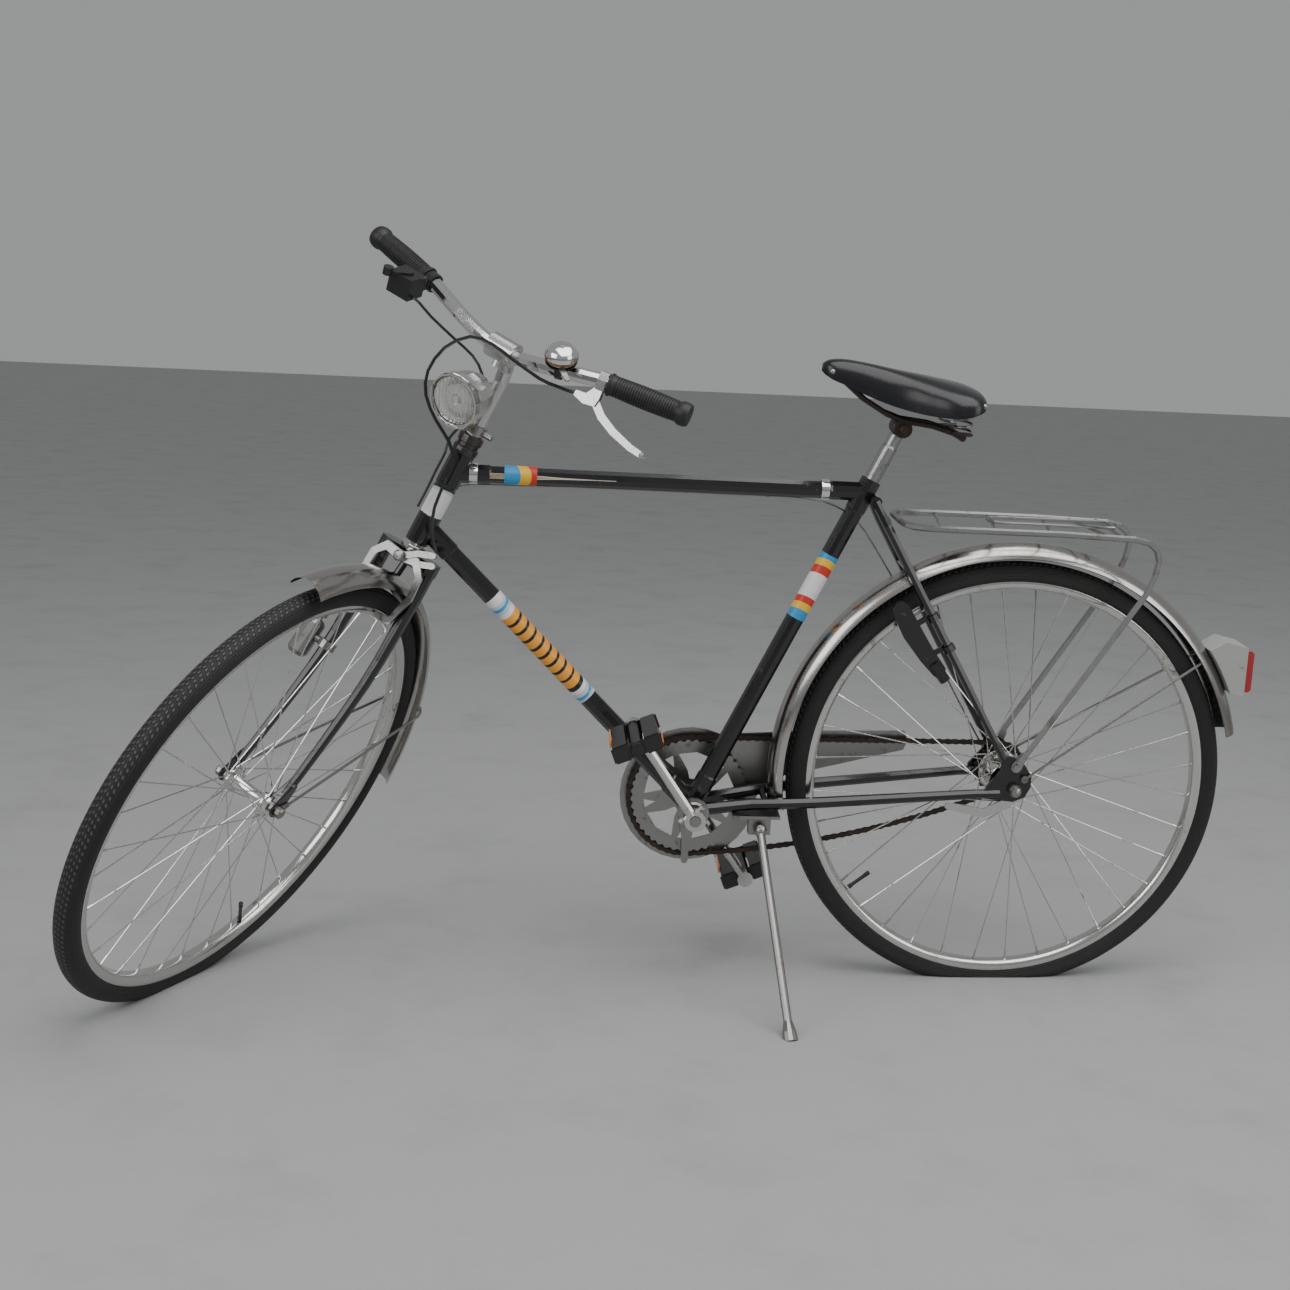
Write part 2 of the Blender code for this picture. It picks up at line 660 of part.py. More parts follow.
def build_cockpit(pivot, bell_pivot, lever_pivot, shift_pivot, lever_axis):
    stem_foot = HEAD_LENGTH + 0.028 + GAP
    path = [on_steerer(-stem_foot), on_steerer(-0.268), on_steerer(-0.288, 0.006),
            on_steerer(-0.303, 0.020), BAR_CENTRE]
    stem = tube(path, [QUILL_R, QUILL_R, 0.0115, 0.0125, 0.0135], 14)
    fuse(stem, drum(BAR_CENTRE, LEFT, 0.0185, -0.022, 0.022, 18))
    fuse(stem, drum(BAR_CENTRE + Vector((-0.004, 0, -0.010)), (-0.35, 0, -0.94), 0.006, 0, 0.016, 10))
    cut(stem, drum(BAR_CENTRE, LEFT, BAR_BULGE_R + GAP, -0.03, 0.03, 18))
    finish(stem, "stem", "aluminium", pivot)

    right = half_bar()
    left = [side_of(p, -1) for p in right[::-1]]
    bar = tube(left + right, BAR_R, 10)
    fuse(bar, drum(BAR_CENTRE, LEFT, BAR_BULGE_R, -0.0225, 0.0225, 18))
    finish(bar, "handlebar", "bright_chrome", pivot)

    for name, side in (("grip_left", -1), ("grip_right", 1)):
        origin, ahead = on_bar(0.0175, side)
        inner = bore(BAR_R, 12)
        length = GRIP_LENGTH
        grip = turned(origin, ahead, [
            (0, length - 0.004), (inner, length - 0.004), (inner, 0), (0.0160, 0), (0.0172, 0.003),
            (0.0150, 0.012), (0.0158, 0.040), (0.0162, 0.075), (0.0158, 0.108), (0.0178, 0.113),
            (0.0178, 0.119), (0.0120, length + 0.001), (0, length + 0.002)], 12)
        finish(grip, name, "grip_rubber", pivot)

    build_bell(pivot, bell_pivot)

    # left brake lever
    hinge = lever_pivot.rest.translation
    centre, ahead = on_bar(CLAMP_OUT, -1)
    ring_part = ring(centre, ahead, bore(BAR_R, 12), 0.0150, -0.0065, 0.0065, 12)
    down = (hinge - centre).normalized()
    across = Vector((0, -1, 0))
    cheek_place = Matrix((across, lever_axis, -down)).transposed().to_4x4()
    cheek_place.translation = centre
    outline = [(-0.030, -0.037), (-0.012, -0.041), (0.006, -0.037), (0.008, -0.024), (0.0065, -0.0130),
               (-0.0065, -0.0130), (-0.014, -0.026), (-0.030, -0.029)]
    web = [(-0.0290, -0.0362), (-0.0170, -0.0385), (-0.0150, -0.0272), (-0.0290, -0.0300)]
    pin_hole = Vector((0, 0, -(hinge - centre).length))
    clamp = fuse(ring_part,
                 plate(outline, -0.0056, -0.0026, (), cheek_place),
                 plate(outline, 0.0026, 0.0056, (), cheek_place),
                 plate(web, -0.0040, 0.0040, (), cheek_place),
                 plate([(-0.0058, -0.0180), (0.0058, -0.0180), (0.0058, -0.0126), (-0.0058, -0.0126)],
                       -0.0050, 0.0050, (), cheek_place),
                 drum(cheek_place @ pin_hole, lever_axis, 0.0020, -0.0066, 0.0066, 10))
    finish(clamp, "brake_lever_clamp", "aluminium", pivot)

    path = [(0, 0), (0.022, -0.016), (0.048, -0.026), (0.082, -0.033), (0.100, -0.034)]
    blade_place = cheek_place.copy()
    blade_place.translation = hinge
    blade = plate(strip(path, [0.0060, 0.0060, 0.0055, 0.0050, 0.0045]), -0.0020, 0.0020,
                  [circle(0, 0, 0.0024, 10)], blade_place)
    tip = blade_place @ Vector((0.104, 0, -0.034))
    blade = fuse(blade, turned(tip, lever_axis, [(0, -0.006), (0.004, -0.0045), (0.006, 0),
                                                 (0.004, 0.0045), (0, 0.006)], 10))
    finish(blade, "brake_lever", "aluminium", lever_pivot)

    # right shifter
    centre, ahead = on_bar(CLAMP_OUT, 1)
    body = ring(centre, ahead, bore(BAR_R, 12), 0.0150, -0.0065, 0.0065, 12)
    body = fuse(body, block((-0.862, 0.156, 0.650), (-0.828, 0.196, 0.684)),
                block((-0.832, 0.156, 0.660), (-0.820, 0.166, 0.676)))
    finish(body, "shifter_body", "black_plastic", pivot)
    hub = shift_pivot.rest.translation
    outline = strip([(hub.x, -hub.y), (hub.x - 0.026, -hub.y - 0.016)], [0.0080, 0.0045])
    flat = Matrix.Translation((0, 0, hub.z)) @ Matrix.Rotation(math.pi / 2, 4, "X")
    lever = plate(outline, -0.0025, 0.0, (), flat)
    knob = drum((hub.x - 0.028, hub.y + 0.016, hub.z - 0.004), (0, 0, 1), 0.0075, -0.002, 0.010, 12)
    finish(fuse(lever, knob), "shifter_lever", "black_plastic", shift_pivot)


BELL_AXIS = Vector((-0.30, 0, 0.954)).normalized()


def build_bell(pivot, bell_pivot):
    centre, ahead = bar_point(0.095)
    strap = ring(centre, ahead, bore(BAR_R + 0.0003, 12), 0.0138, -0.0045, 0.0045, 12)
    base = turned(centre, BELL_AXIS, [(0, 0.0125), (0.007, 0.0125), (0.009, 0.0175), (0.0235, 0.0185),
                                      (0.0235, 0.0200), (0.0035, 0.0205), (0.0030, 0.0420),
                                      (0, 0.0420)], 12)
    finish(fuse(strap, base), "bell_base", "black_plastic", pivot)
    dome = turned(centre, BELL_AXIS, [
        (0, 0.0428), (0.010, 0.0420), (0.019, 0.0385), (0.0255, 0.0320), (0.0270, 0.0245),
        (0.0290, 0.0245), (0.0275, 0.0330), (0.0205, 0.0402), (0.0110, 0.0440), (0, 0.0452)], 16)
    finish(dome, "bell_dome", "bright_chrome", pivot)
    hub = bell_pivot.rest.translation
    flat = placement(hub, BELL_AXIS) @ Matrix.Rotation(-math.pi / 2, 4, "X")
    thumb = plate(strip([(0, 0), (-0.020, 0.012)], [0.0042, 0.0035]), -0.0012, 0.0012, (), flat)
    finish(thumb, "bell_lever", "dull_steel", bell_pivot)


# ---------------------------------------------------------------- lamp and front brake

LAMP_CENTRE = Vector((-0.925, 0, 0.585))
LAMP_BOLT = Vector((-0.888, 0, 0.540))


def build_headlamp(pivot, lamp_pivot):
    depth = 0.068
    back = LAMP_CENTRE + Vector((depth, 0, 0))
    bowl = turned(back, (-1, 0, 0), [
        (0, 0), (0.018, 0.002), (0.031, 0.014), (0.0375, 0.034), (0.0392, 0.054), (0.0410, 0.057),
        (0.0410, depth), (0.0385, depth), (0.0385, 0.058), (0.0365, 0.054), (0.0345, 0.034),
        (0.0285, 0.016), (0.0165, 0.005), (0, 0.003)], 16)
    lug = [(-0.895, 0.534), (-0.881, 0.534), (-0.879, 0.550), (-0.897, 0.550)]
    hole = circle(LAMP_BOLT.x, LAMP_BOLT.z, 0.0034, 10)
    lug_plate = plate(lug, -0.0040, 0.0040, [hole])
    bowl = fuse(bowl, lug_plate)
    finish(bowl, "headlamp_shell", "chrome", lamp_pivot)
    lens = turned(back, (-1, 0, 0), [(0, 0.0590), (0.0382, 0.0590), (0.0382, 0.0650),
                                     (0.0250, 0.0672), (0, 0.0680)], 16)
    finish(lens, "headlamp_lens", "clear_glass", lamp_pivot)

    seat = on_steerer(-HEAD_LENGTH - 0.0325)
    band = ring(seat, UP, bore(QUILL_R, 14), 0.0160, 0, 0.014, 14)
    mid = seat + UP * 0.007
    for side in (-1, 1):
        low, high = sorted((side * 0.0043, side * 0.0068))
        root = mid + FWD * 0.0197
        path = [(root.x, root.z), (LAMP_BOLT.x, LAMP_BOLT.z)]
        band = fuse(band, plate(strip(path, [0.0055, 0.0065]), low, high))
    band = fuse(band, drum(LAMP_BOLT, LEFT, 0.0030, -0.0090, 0.0090, 8),
                drum(mid, LEFT, 0.0045, 0.0135, 0.0300, 8))
    finish(band, "headlamp_bracket", "dull_steel", pivot)


def build_front_brake(pivot, left_pivot, right_pivot):
    bolt = on_steerer(0.025)
    face = CROWN_DEPTH + GAP
    pin = turned(bolt, FWD, [(0, face), (0.0070, face), (0.0070, 0.0172), (0.0030, 0.0172),
                             (0.0030, 0.0282), (0.0085, 0.0282), (0.0085, 0.0320), (0.0060, 0.0340),
                             (0, 0.0345)], 14)
    finish(pin, "brake_pivot_bolt", "dull_steel", pivot)

    place = Matrix((Vector((0, 1, 0)), FWD, -UP)).transposed().to_4x4()
    place.translation = HEAD_BOT
    half_path = [(0.0, 0.0250), (0.026, 0.022), (0.0415, 0.040), (0.0435, 0.075), (0.036, 0.100),
                 (0.030, 0.119)]
    anchors = {-1: [(-0.028, 0.024), (-0.052, 0.014)], 1: [(0.0, 0.025), (-0.026, 0.008), (-0.048, -0.001)]}
    depths = {-1: (0.0175, 0.0225), 1: (0.0228, 0.0278)}
    for name, side, arm_pivot in (("brake_arm_left", -1, left_pivot), ("brake_arm_right", 1, right_pivot)):
        low, high = depths[side]
        hole = circle(0, 0.025, 0.0034, 12)
        path = [(side * y, down) for y, down in half_path]
        arm = plate(strip(path, [0.0075, 0.0070, 0.0055, 0.0050, 0.0045, 0.0050]), low, high, (), place)
        arm = fuse(arm, plate(strip(anchors[side], 0.0046), low + 0.0005, high - 0.0005, (), place))
        arm = cut(arm, plate(hole, low - 0.002, high + 0.002, (), place))
        contact = place @ Vector((side * 0.0205, (low + high) / 2, 0.119))
        radial = (contact - FRONT_AXLE)
        radial.y = 0
        along = Vector((0, 1, 0)).cross(radial.normalized())
        pad_place = Matrix((along, Vector((0, 1, 0)), radial.normalized())).transposed().to_4x4()
        pad_place.translation = Vector((contact.x, 0, contact.z))
        near, far = sorted((side * 0.0155, side * 0.0270))
        pad = plate([(-0.024, -0.0045), (0.024, -0.0045), (0.024, 0.0045), (-0.024, 0.0045)],
                    near, far, (), pad_place)
        finish(fuse(arm, pad), name, "aluminium", arm_pivot)


def build_dynamo(pivot):
    low = on_steerer(0.192, 0.0134, 0.0429)
    high = on_steerer(0.212, 0.0174, 0.0432)
    ahead = (high - low).normalized()
    clamp = ring(low.lerp(high, 0.5), ahead, bore(0.0092, 14), 0.0140, -0.006, 0.006, 14)
    mid = low.lerp(high, 0.5)
    neck = drum(mid + Vector((0, 0.0125, 0)), (0, 1, 0), 0.0055, 0, 0.012, 10)
    bottle = turned(mid + Vector((0, 0.036, 0)), -ahead, [
        (0, -0.036), (0.012, -0.036), (0.0165, -0.030), (0.0165, 0.018), (0.011, 0.024),
        (0.006, 0.026), (0.006, 0.030), (0.0105, 0.031), (0.0105, 0.041), (0, 0.042)], 12)
    finish(fuse(clamp, neck, bottle), "dynamo", "dull_steel", pivot)


# ---------------------------------------------------------------- cables

def build_cables(pivot, frame_pivot):
    brake = [(-0.8197, -0.1279, 0.6383), (-0.8225, -0.1180, 0.6362), (-0.832, -0.100, 0.638),
             (-0.846, -0.080, 0.643),
             (-0.867, -0.040, 0.661), (-0.887, -0.015, 0.677), (-0.905, 0.012, 0.680),
             (-0.925, 0.035, 0.655), (-0.928, 0.050, 0.61), (-0.916, 0.051, 0.565),
             (-0.898, 0.036, 0.525), (-0.894, 0.008, 0.502), (-0.899, -0.012, 0.478),
             (-0.904, -0.010, 0.450), (-0.922, -0.014, 0.41), (-0.938, -0.030, 0.380),
             on_steerer(-0.0080, 0.0254, -0.048)]
    finish(tube(smooth_path(brake, 2), 0.0025, 6), "brake_cable", "cable_black", pivot, 60)
    gear = [(-0.8520, 0.1556, 0.6560), (-0.8510, 0.1420, 0.6530), (-0.843, 0.122, 0.6380),
            (-0.818, 0.092, 0.611), (-0.806, 0.060, 0.594), (-0.808, 0.036, 0.577),
            (-0.797, 0.030, 0.540), (-0.815, 0.028, 0.515), (-0.841, 0.028, 0.500),
            (-0.875, 0.020, 0.496), (-0.893, 0.010, 0.482), (-0.905, 0.010, 0.455),
            (-0.918, 0.009, 0.425), (-0.930, 0.009, 0.400)]
    finish(tube(smooth_path(gear, 2), 0.0021, 6), "gear_cable_front", "cable_black", pivot, 60)
    rear = [(-0.893, 0.0225, 0.395), (-0.878, 0.0210, 0.416), (-0.850, 0.0125, 0.4255),
            (-0.780, 0.004, 0.4285), (-0.700, 0.0030, 0.4302), (-0.420, 0.0030, 0.4302),
            (-0.345, 0.010, 0.4275), (-0.300, 0.0190, 0.4180), (-0.262, 0.0270, 0.395),
            (-0.222, 0.0465, 0.345), (-0.14, 0.060, 0.222), (-0.060, 0.0705, 0.092),
            (-0.020, 0.0775, 0.028), (-0.003, 0.0800, 0.003)]
    finish(tube(smooth_path(rear, 2), 0.0015, 6), "gear_cable_rear", "cable_steel", frame_pivot, 60)


# ---------------------------------------------------------------- drive train

def gear_outline(teeth, root, tip):
    points = []
    for i in range(teeth):
        for k, radius in ((0.0, root), (0.5, tip)):
            angle = 2 * math.pi * (i + k) / teeth
            points.append((radius * math.cos(angle), radius * math.sin(angle)))
    return points


def chainring_windows():
    """Ten openings between five Y-shaped arms, in ring coordinates."""
    holes = []
    for arm in range(5):
        middle = 2 * math.pi * arm / 5 + 0.2
        wide = []
        for angle, radius in ((-0.40, 0.0705), (0.0, 0.0720), (0.40, 0.0705), (0.22, 0.0420),
                              (0.14, 0.0280), (-0.14, 0.0280), (-0.22, 0.0420)):
            wide.append((radius * math.cos(middle + angle), radius * math.sin(middle + angle)))
        holes.append(wide)
        middle += math.pi / 5
        small = []
        for angle, radius in ((-0.10, 0.071), (0.10, 0.071), (0.0, 0.052)):
            small.append((radius * math.cos(middle + angle), radius * math.sin(middle + angle)))
        holes.append(small)
    return holes


def build_cranks(crank_pivot, left_pivot, right_pivot):
    axle = turned(BB, LEFT, [(0, -0.0750), (AXLE_R, -0.0750), (AXLE_R, 0.0750), (0, 0.0750)], 12)
    finish(axle, "bb_axle", "dull_steel", crank_pivot)
    place = Matrix.Translation(BB)
    half = 0.0015
    wheel = plate(gear_outline(44, RING_R - 0.0045, RING_R), CHAIN_Y - half, CHAIN_Y + half,
                  chainring_windows(), place)
    wheel = fuse(wheel, drum(BB, (0, 1, 0), 0.0185, 0.0370, 0.0575, 16))
    wheel = cut(wheel, drum(BB, (0, 1, 0), bore(AXLE_R, 14), 0.03, 0.07, 14))
    finish(wheel, "chainring", "dull_steel", crank_pivot)

    ahead = Vector((-math.cos(CRANK_REST), 0, math.sin(CRANK_REST)))
    for name, side, pedal, pedal_pivot in (("crank_left", -1, "pedal_left", left_pivot),
                                           ("crank_right", 1, "pedal_right", right_pivot)):
        arm_dir = ahead * -side
        out = Vector((0, side, 0))
        eye = BB + arm_dir * CRANK
        mid = out * 0.0662
        arm = tube([BB + arm_dir * 0.010 + mid, BB + arm_dir * 0.165 + mid], [0.0085, 0.0074], 10)
        pin_dir = arm_dir.cross(Vector((0, 1, 0)))
        crank = fuse(drum(BB, out, 0.0165, 0.0585, 0.0735, 14), arm,
                     drum(eye, out, 0.0125, 0.0590, 0.0733, 12),
                     drum(eye, out, 0.0060, 0.0650, 0.1670, 8),
                     drum(BB + mid + arm_dir * 0.0108, pin_dir, 0.0038, -0.0215, 0.0215, 6))
        crank = cut(crank, drum(BB, out, bore(AXLE_R, 14), 0.03, 0.08, 14))
        finish(crank, name, "dull_steel", crank_pivot)
        build_pedal(pedal, eye, out, pedal_pivot)


def build_pedal(name, eye, out, pivot):
    tilt = math.radians(-22.0)
    along = Vector((math.cos(tilt), 0, -math.sin(tilt)))
    upward = out.cross(along)
    place = Matrix((along, out, upward)).transposed().to_4x4()
    place.translation = eye
    barrel = turned(eye, out, [(0, 0.1676), (bore(0.006, 10), 0.1676), (bore(0.006, 10), 0.0740),
                               (0.0110, 0.0740),
                               (0.0110, 0.1720), (0.0095, 0.1770), (0, 0.1790)], 10)
    cheek = [(-0.0372, -0.0106), (0.0372, -0.0106), (0.0372, 0.0106), (-0.0372, 0.0106)]
    hole = circle(0, 0, 0.0086, 11)
    pedal = fuse(barrel, plate(cheek, 0.0760, 0.0780, [hole], place),
                 plate(cheek, 0.1690, 0.1710, (), place))
    for side in (-1, 1):
        low, high = sorted((side * 0.013, side * 0.0345))
        outline = [(low, -0.013), (high, -0.013), (high, 0.013), (low, 0.013)]
        pedal = fuse(pedal, plate(outline, 0.0775, 0.1695, (), place))
    finish(pedal, name, "black_plastic", pivot)


def chain_outline(extra):
    """Closed loop around the chainring and the sprocket with a slack lower run."""
    big = RING_R + 0.0010 + extra
    small = SPROCKET_R + 0.0010 + extra
    slope = math.asin((big - small) / BB.length)
    line = math.atan2(-BB.z, -BB.x)
    points = []
    upper = line + math.pi / 2 - slope
    lower = line - math.pi / 2 + slope * 0.2
    for i in range(19):
        angle = upper + (2 * math.pi - (upper - lower)) * i / 18
        points.append((BB.x + big * math.cos(angle), BB.z + big * math.sin(angle)))
    start = Vector(points[-1])
    angle = line - math.pi / 2 - 0.28
    end = Vector((small * math.cos(angle), small * math.sin(angle)))
    for i in range(1, 9):
        t = i / 9
        sag = 0.020 * 4 * t * (1 - t)
        point = start.lerp(end, t)
        points.append((point.x, point.y - sag))
    for i in range(11):
        turn = angle + (upper - angle) * i / 10
        points.append((small * math.cos(turn), small * math.sin(turn)))
    return points


def build_chain(pivot):
    outer = chain_outline(CHAIN_WALL)
    inner = chain_outline(0.0)
    band = plate(outer, CHAIN_Y - 0.0032, CHAIN_Y + 0.0032, [inner])
    finish(band, "chain", "rusty_steel", pivot)

    x, z = BB.x, BB.z
    outline = []
    for i in range(25):
        angle = math.radians(66 + 276 * i / 24)
        outline.append((x + 0.108 * math.cos(angle), z + 0.108 * math.sin(angle)))
    outline += [(-0.380, -0.046), (-0.340, -0.024), (-0.297, -0.014), (-0.153, 0.023),
                (-0.147, 0.038), (-0.153, 0.054), (-0.300, 0.050)]
    guard = plate(outline, 0.0520, 0.0545, [circle(x, z, 0.080, 28)])
    strap = strip([(x, z), (x - 0.002, z - 0.070), (x - 0.002, z - 0.103)], [0.0195, 0.0060, 0.0055])
    guard = fuse(guard, plate(strap, 0.0343, 0.0363, [circle(x, z, 0.0115, 14)]),
                 drum((x - 0.002, 0, z - 0.1035), (0, 1, 0), 0.0035, 0.0345, 0.0570, 8))
    finish(guard, "chain_guard", "dull_steel", pivot)


def build_sprocket(pivot):
    cog = plate(gear_outline(18, SPROCKET_R - 0.0050, SPROCKET_R), CHAIN_Y - 0.0013, CHAIN_Y + 0.0013,
                [circle(0, 0, 0.0144, 18)])
    finish(cog, "rear_sprocket", "rusty_steel", pivot)


# ---------------------------------------------------------------- saddle

SADDLE_ROWS = [
    (-0.335, 0.008, 0.6365, 0.6240), (-0.324, 0.0185, 0.6430, 0.6150), (-0.300, 0.0240, 0.6450, 0.6060),
    (-0.260, 0.0300, 0.6405, 0.5900), (-0.220, 0.0430, 0.6340, 0.5785), (-0.180, 0.0650, 0.6280, 0.5725),
    (-0.145, 0.0830, 0.6220, 0.5720), (-0.118, 0.0860, 0.6165, 0.5770), (-0.101, 0.0760, 0.6100, 0.5840),
    (-0.094, 0.0560, 0.6030, 0.5900)]


def build_saddle(post_pivot, saddle_pivot):
    post = turned(BB, SEAT_UP, [(0, 0.435), (POST_R - 0.001, 0.435), (POST_R, 0.438),
                                (POST_R, 0.630), (0.0110, 0.634), (0.0110, SADDLE_AXIS - 0.0143),
                                (0, SADDLE_AXIS - 0.0143)], 16)
    finish(post, "seat_post", "zinc", post_pivot)

    bm = bmesh.new()
    rows = []
    for x, half, top, edge in SADDLE_ROWS:
        row = []
        for i in range(11):
            angle = math.pi * i / 10
            lift = math.sin(angle) ** 0.75 if 0 < i < 10 else 0.0
            row.append(bm.verts.new((x, half * math.cos(angle), edge + (top - edge) * lift)))
        for across in (-0.82, -0.40, 0.0, 0.40, 0.82):
            rise = 0.42 * (top - edge) * (1 - across * across)
            row.append(bm.verts.new((x, half * across, edge + 0.001 + rise)))
        rows.append(row)
    count = len(rows[0])
    for low, high in zip(rows, rows[1:]):
        for k in range(count):
            j = (k + 1) % count
            bm.faces.new((low[k], low[j], high[j], high[k]))
    bm.faces.new(rows[0][::-1])
    bm.faces.new(rows[-1])
    finish(solid(bm), "saddle_cover", "saddle_vinyl", saddle_pivot, 40)

    axis = on_seat_tube(SADDLE_AXIS)
    clamp = drum(axis, LEFT, 0.0140, -0.022, 0.022, 14)
    clamp = fuse(clamp, drum(axis, LEFT, 0.0070, -0.030, 0.030, 8))
    for side in (-1, 1):
        rail = [(-0.306, side * 0.009, 0.6155), (-0.270, side * 0.0125, 0.5860),
                (-0.235, side * 0.016, 0.5660), (axis.x, side * 0.0185, axis.z + 0.0120),
                (-0.165, side * 0.022, 0.5520), (-0.128, side * 0.030, 0.5420)]
        clamp = fuse(clamp, tube(rail, 0.0042, 6))
    clamp = fuse(clamp, drum((-0.304, 0, 0.6155), LEFT, 0.0042, -0.011, 0.011, 8),
                 drum((-0.128, 0, 0.5415), LEFT, 0.0055, -0.062, 0.062, 10))
    for side in (-1, 1):
        clamp = fuse(clamp, drum((-0.126, side * 0.050, 0), (0, 0, 1), 0.0155, 0.5440, 0.5472, 10))
    finish(clamp, "saddle_frame", "rusty_steel", saddle_pivot)

    for name, side in (("saddle_spring_left", -1), ("saddle_spring_right", 1)):
        turns = 2.25
        steps = 20
        path = []
        for i in range(steps + 1):
            t = i / steps
            angle = 2 * math.pi * turns * t
            radius = 0.0135
            across = side * (0.050 - radius * math.sin(angle))
            path.append((-0.126 + radius * math.cos(angle), across,
                         0.5500 + 0.0378 * t))
        finish(tube(path, 0.0021, 5), name, "dull_steel", saddle_pivot)


# ---------------------------------------------------------------- carrier, tail lamp, lock, stand

def build_rack(pivot, clip_pivot):
    y = 0.068
    half = smooth_path([(-0.206, 0.020, 0.4075), (-0.203, 0.040, 0.4060), (-0.190, 0.058, 0.4045),
                        (-0.160, 0.0665, 0.404), (-0.119, y, 0.404)], 2)
    half += [Vector(p) for p in ((0.035, y, 0.404), (0.150, 0.069, 0.4010), (0.172, 0.0695, 0.3965),
                                 (0.185, 0.070, 0.3860), (0.190, 0.070, 0.3690), (0.186, 0.070, 0.3450),
                                 (0.174, 0.070, 0.3150), (0.010, 0.0668, 0.0540), (0.002, 0.0668, 0.0420))]
    other = [side_of(p, -1) for p in half[::-1]]
    rack = tube(other + half, 0.005, 6)
    for side in (-1, 1):
        low, high = sorted((side * 0.0603, side * 0.0630))
        tab = strip([(0.0, 0.036), (0.010, 0.0540)], [0.0085, 0.0060])
        bolt = drum((0, 0, 0.036), (0, side, 0), 0.0055, 0.0615, 0.0665, 10)
        rack = fuse(rack, plate(tab, low, high), bolt)
    rods = []
    for a, b in ((-0.150, -0.130), (-0.065, -0.045), (0.020, 0.040), (0.1300, 0.1300), (0.110, 0.085)):
        rods.append(tube([(a, -y, 0.404), (b, y, 0.404)], 0.0025, 6))
    for rod in rods:
        rack = fuse(rack, rod)
    finish(rack, "rack", "zinc", pivot)

    z = 0.404 + 0.005 + GAP
    loop = [(0.130, -0.026, z), (0.130, 0.026, z), (0.060, 0.026, z), (-0.040, 0.024, z),
            (-0.056, 0.018, z), (-0.062, 0.006, z), (-0.062, -0.006, z), (-0.056, -0.018, z),
            (-0.040, -0.024, z), (0.060, -0.026, z)]
    finish(tube(loop, 0.0025, 6, True), "rack_clip", "zinc", clip_pivot)


def build_tail_lamp(pivot):
    radius = FENDER_RING + FENDER_R + 0.0008
    arc = []
    for i in range(5):
        angle = math.radians(36 - 3 * i)
        arc.append((radius * math.cos(angle), radius * math.sin(angle)))
    outline = arc + [(0.366, 0.150), (0.366, 0.228), (0.330, 0.236)]
    finish(plate(outline, -0.028, 0.028), "tail_lamp_housing", "grey_paint", pivot)
    lens = [(0.3663, 0.156), (0.374, 0.156), (0.378, 0.160), (0.378, 0.218), (0.374, 0.222),
            (0.3663, 0.222)]
    finish(plate(lens, -0.024, 0.024), "tail_lamp_lens", "red_lens", pivot)


def build_lock(pivot):
    top = Vector((-0.225, -0.036, 0.400))
    foot = Vector((-0.020, -0.0575, 0.048))
    ahead = (foot - top).normalized()
    path = [(-0.196, 0.273), (-0.176, 0.238), (-0.150, 0.203), (-0.130, 0.180)]
    body = plate(strip(path, [0.0140, 0.0150, 0.0130, 0.0110]), -0.0480, -0.0415)
    low = Vector((-0.140, -0.0450, 0.192))
    end = Vector((-0.119, -0.0450, 0.166))
    body = fuse(body, tube([low, end], 0.0092, 10))
    for along in (0.158, 0.212):
        centre = top + ahead * along
        body = fuse(body, ring(centre, ahead, 0.0078, 0.0102, -0.005, 0.005, 10))
        outline = strip([(centre.x - 0.0092, centre.z - 0.001), (centre.x - 0.024, centre.z - 0.011)], 0.004)
        body = fuse(body, plate(outline, -0.0470, -0.0430))
    for along in (0.158, 0.212):
        centre = top + ahead * along
        body = cut(body, drum(centre, ahead, 0.0078, -0.012, 0.012, 10))
    finish(body, "frame_lock", "black_paint", pivot)


def build_stand(pivot, leg_pivot, floor_drop):
    flat = block((-0.431, -0.046, -0.0622), (-0.358, 0.036, -0.0575))
    arm = block((-0.4045, -0.0357, -0.0905), (-0.3705, -0.0180, -0.0600))
    axis = leg_pivot.rest.to_3x3().col[2]
    bracket = fuse(flat, arm)
    finish(bracket, "kickstand_bracket", "dull_steel", pivot)

    ahead = (STAND_FOOT - STAND_PIVOT).normalized()
    length = (STAND_FOOT - STAND_PIVOT).length + floor_drop
    leg = tube([STAND_PIVOT, STAND_PIVOT + ahead * (length - 0.030),
                STAND_PIVOT + ahead * (length - 0.014), STAND_PIVOT + ahead * length],
               [STAND_LEG_R, STAND_LEG_R, 0.0105, 0.0115], 12)
    ball = turned(STAND_PIVOT, axis, [(0, -0.0100), (0.0060, -0.0080), (0.0098, -0.0025),
                                      (0.0098, 0.0025), (0.0060, 0.0080), (0, 0.0100)], 14)
    finish(fuse(leg, ball), "kickstand_leg", "dull_steel", leg_pivot)


# ---------------------------------------------------------------- pose

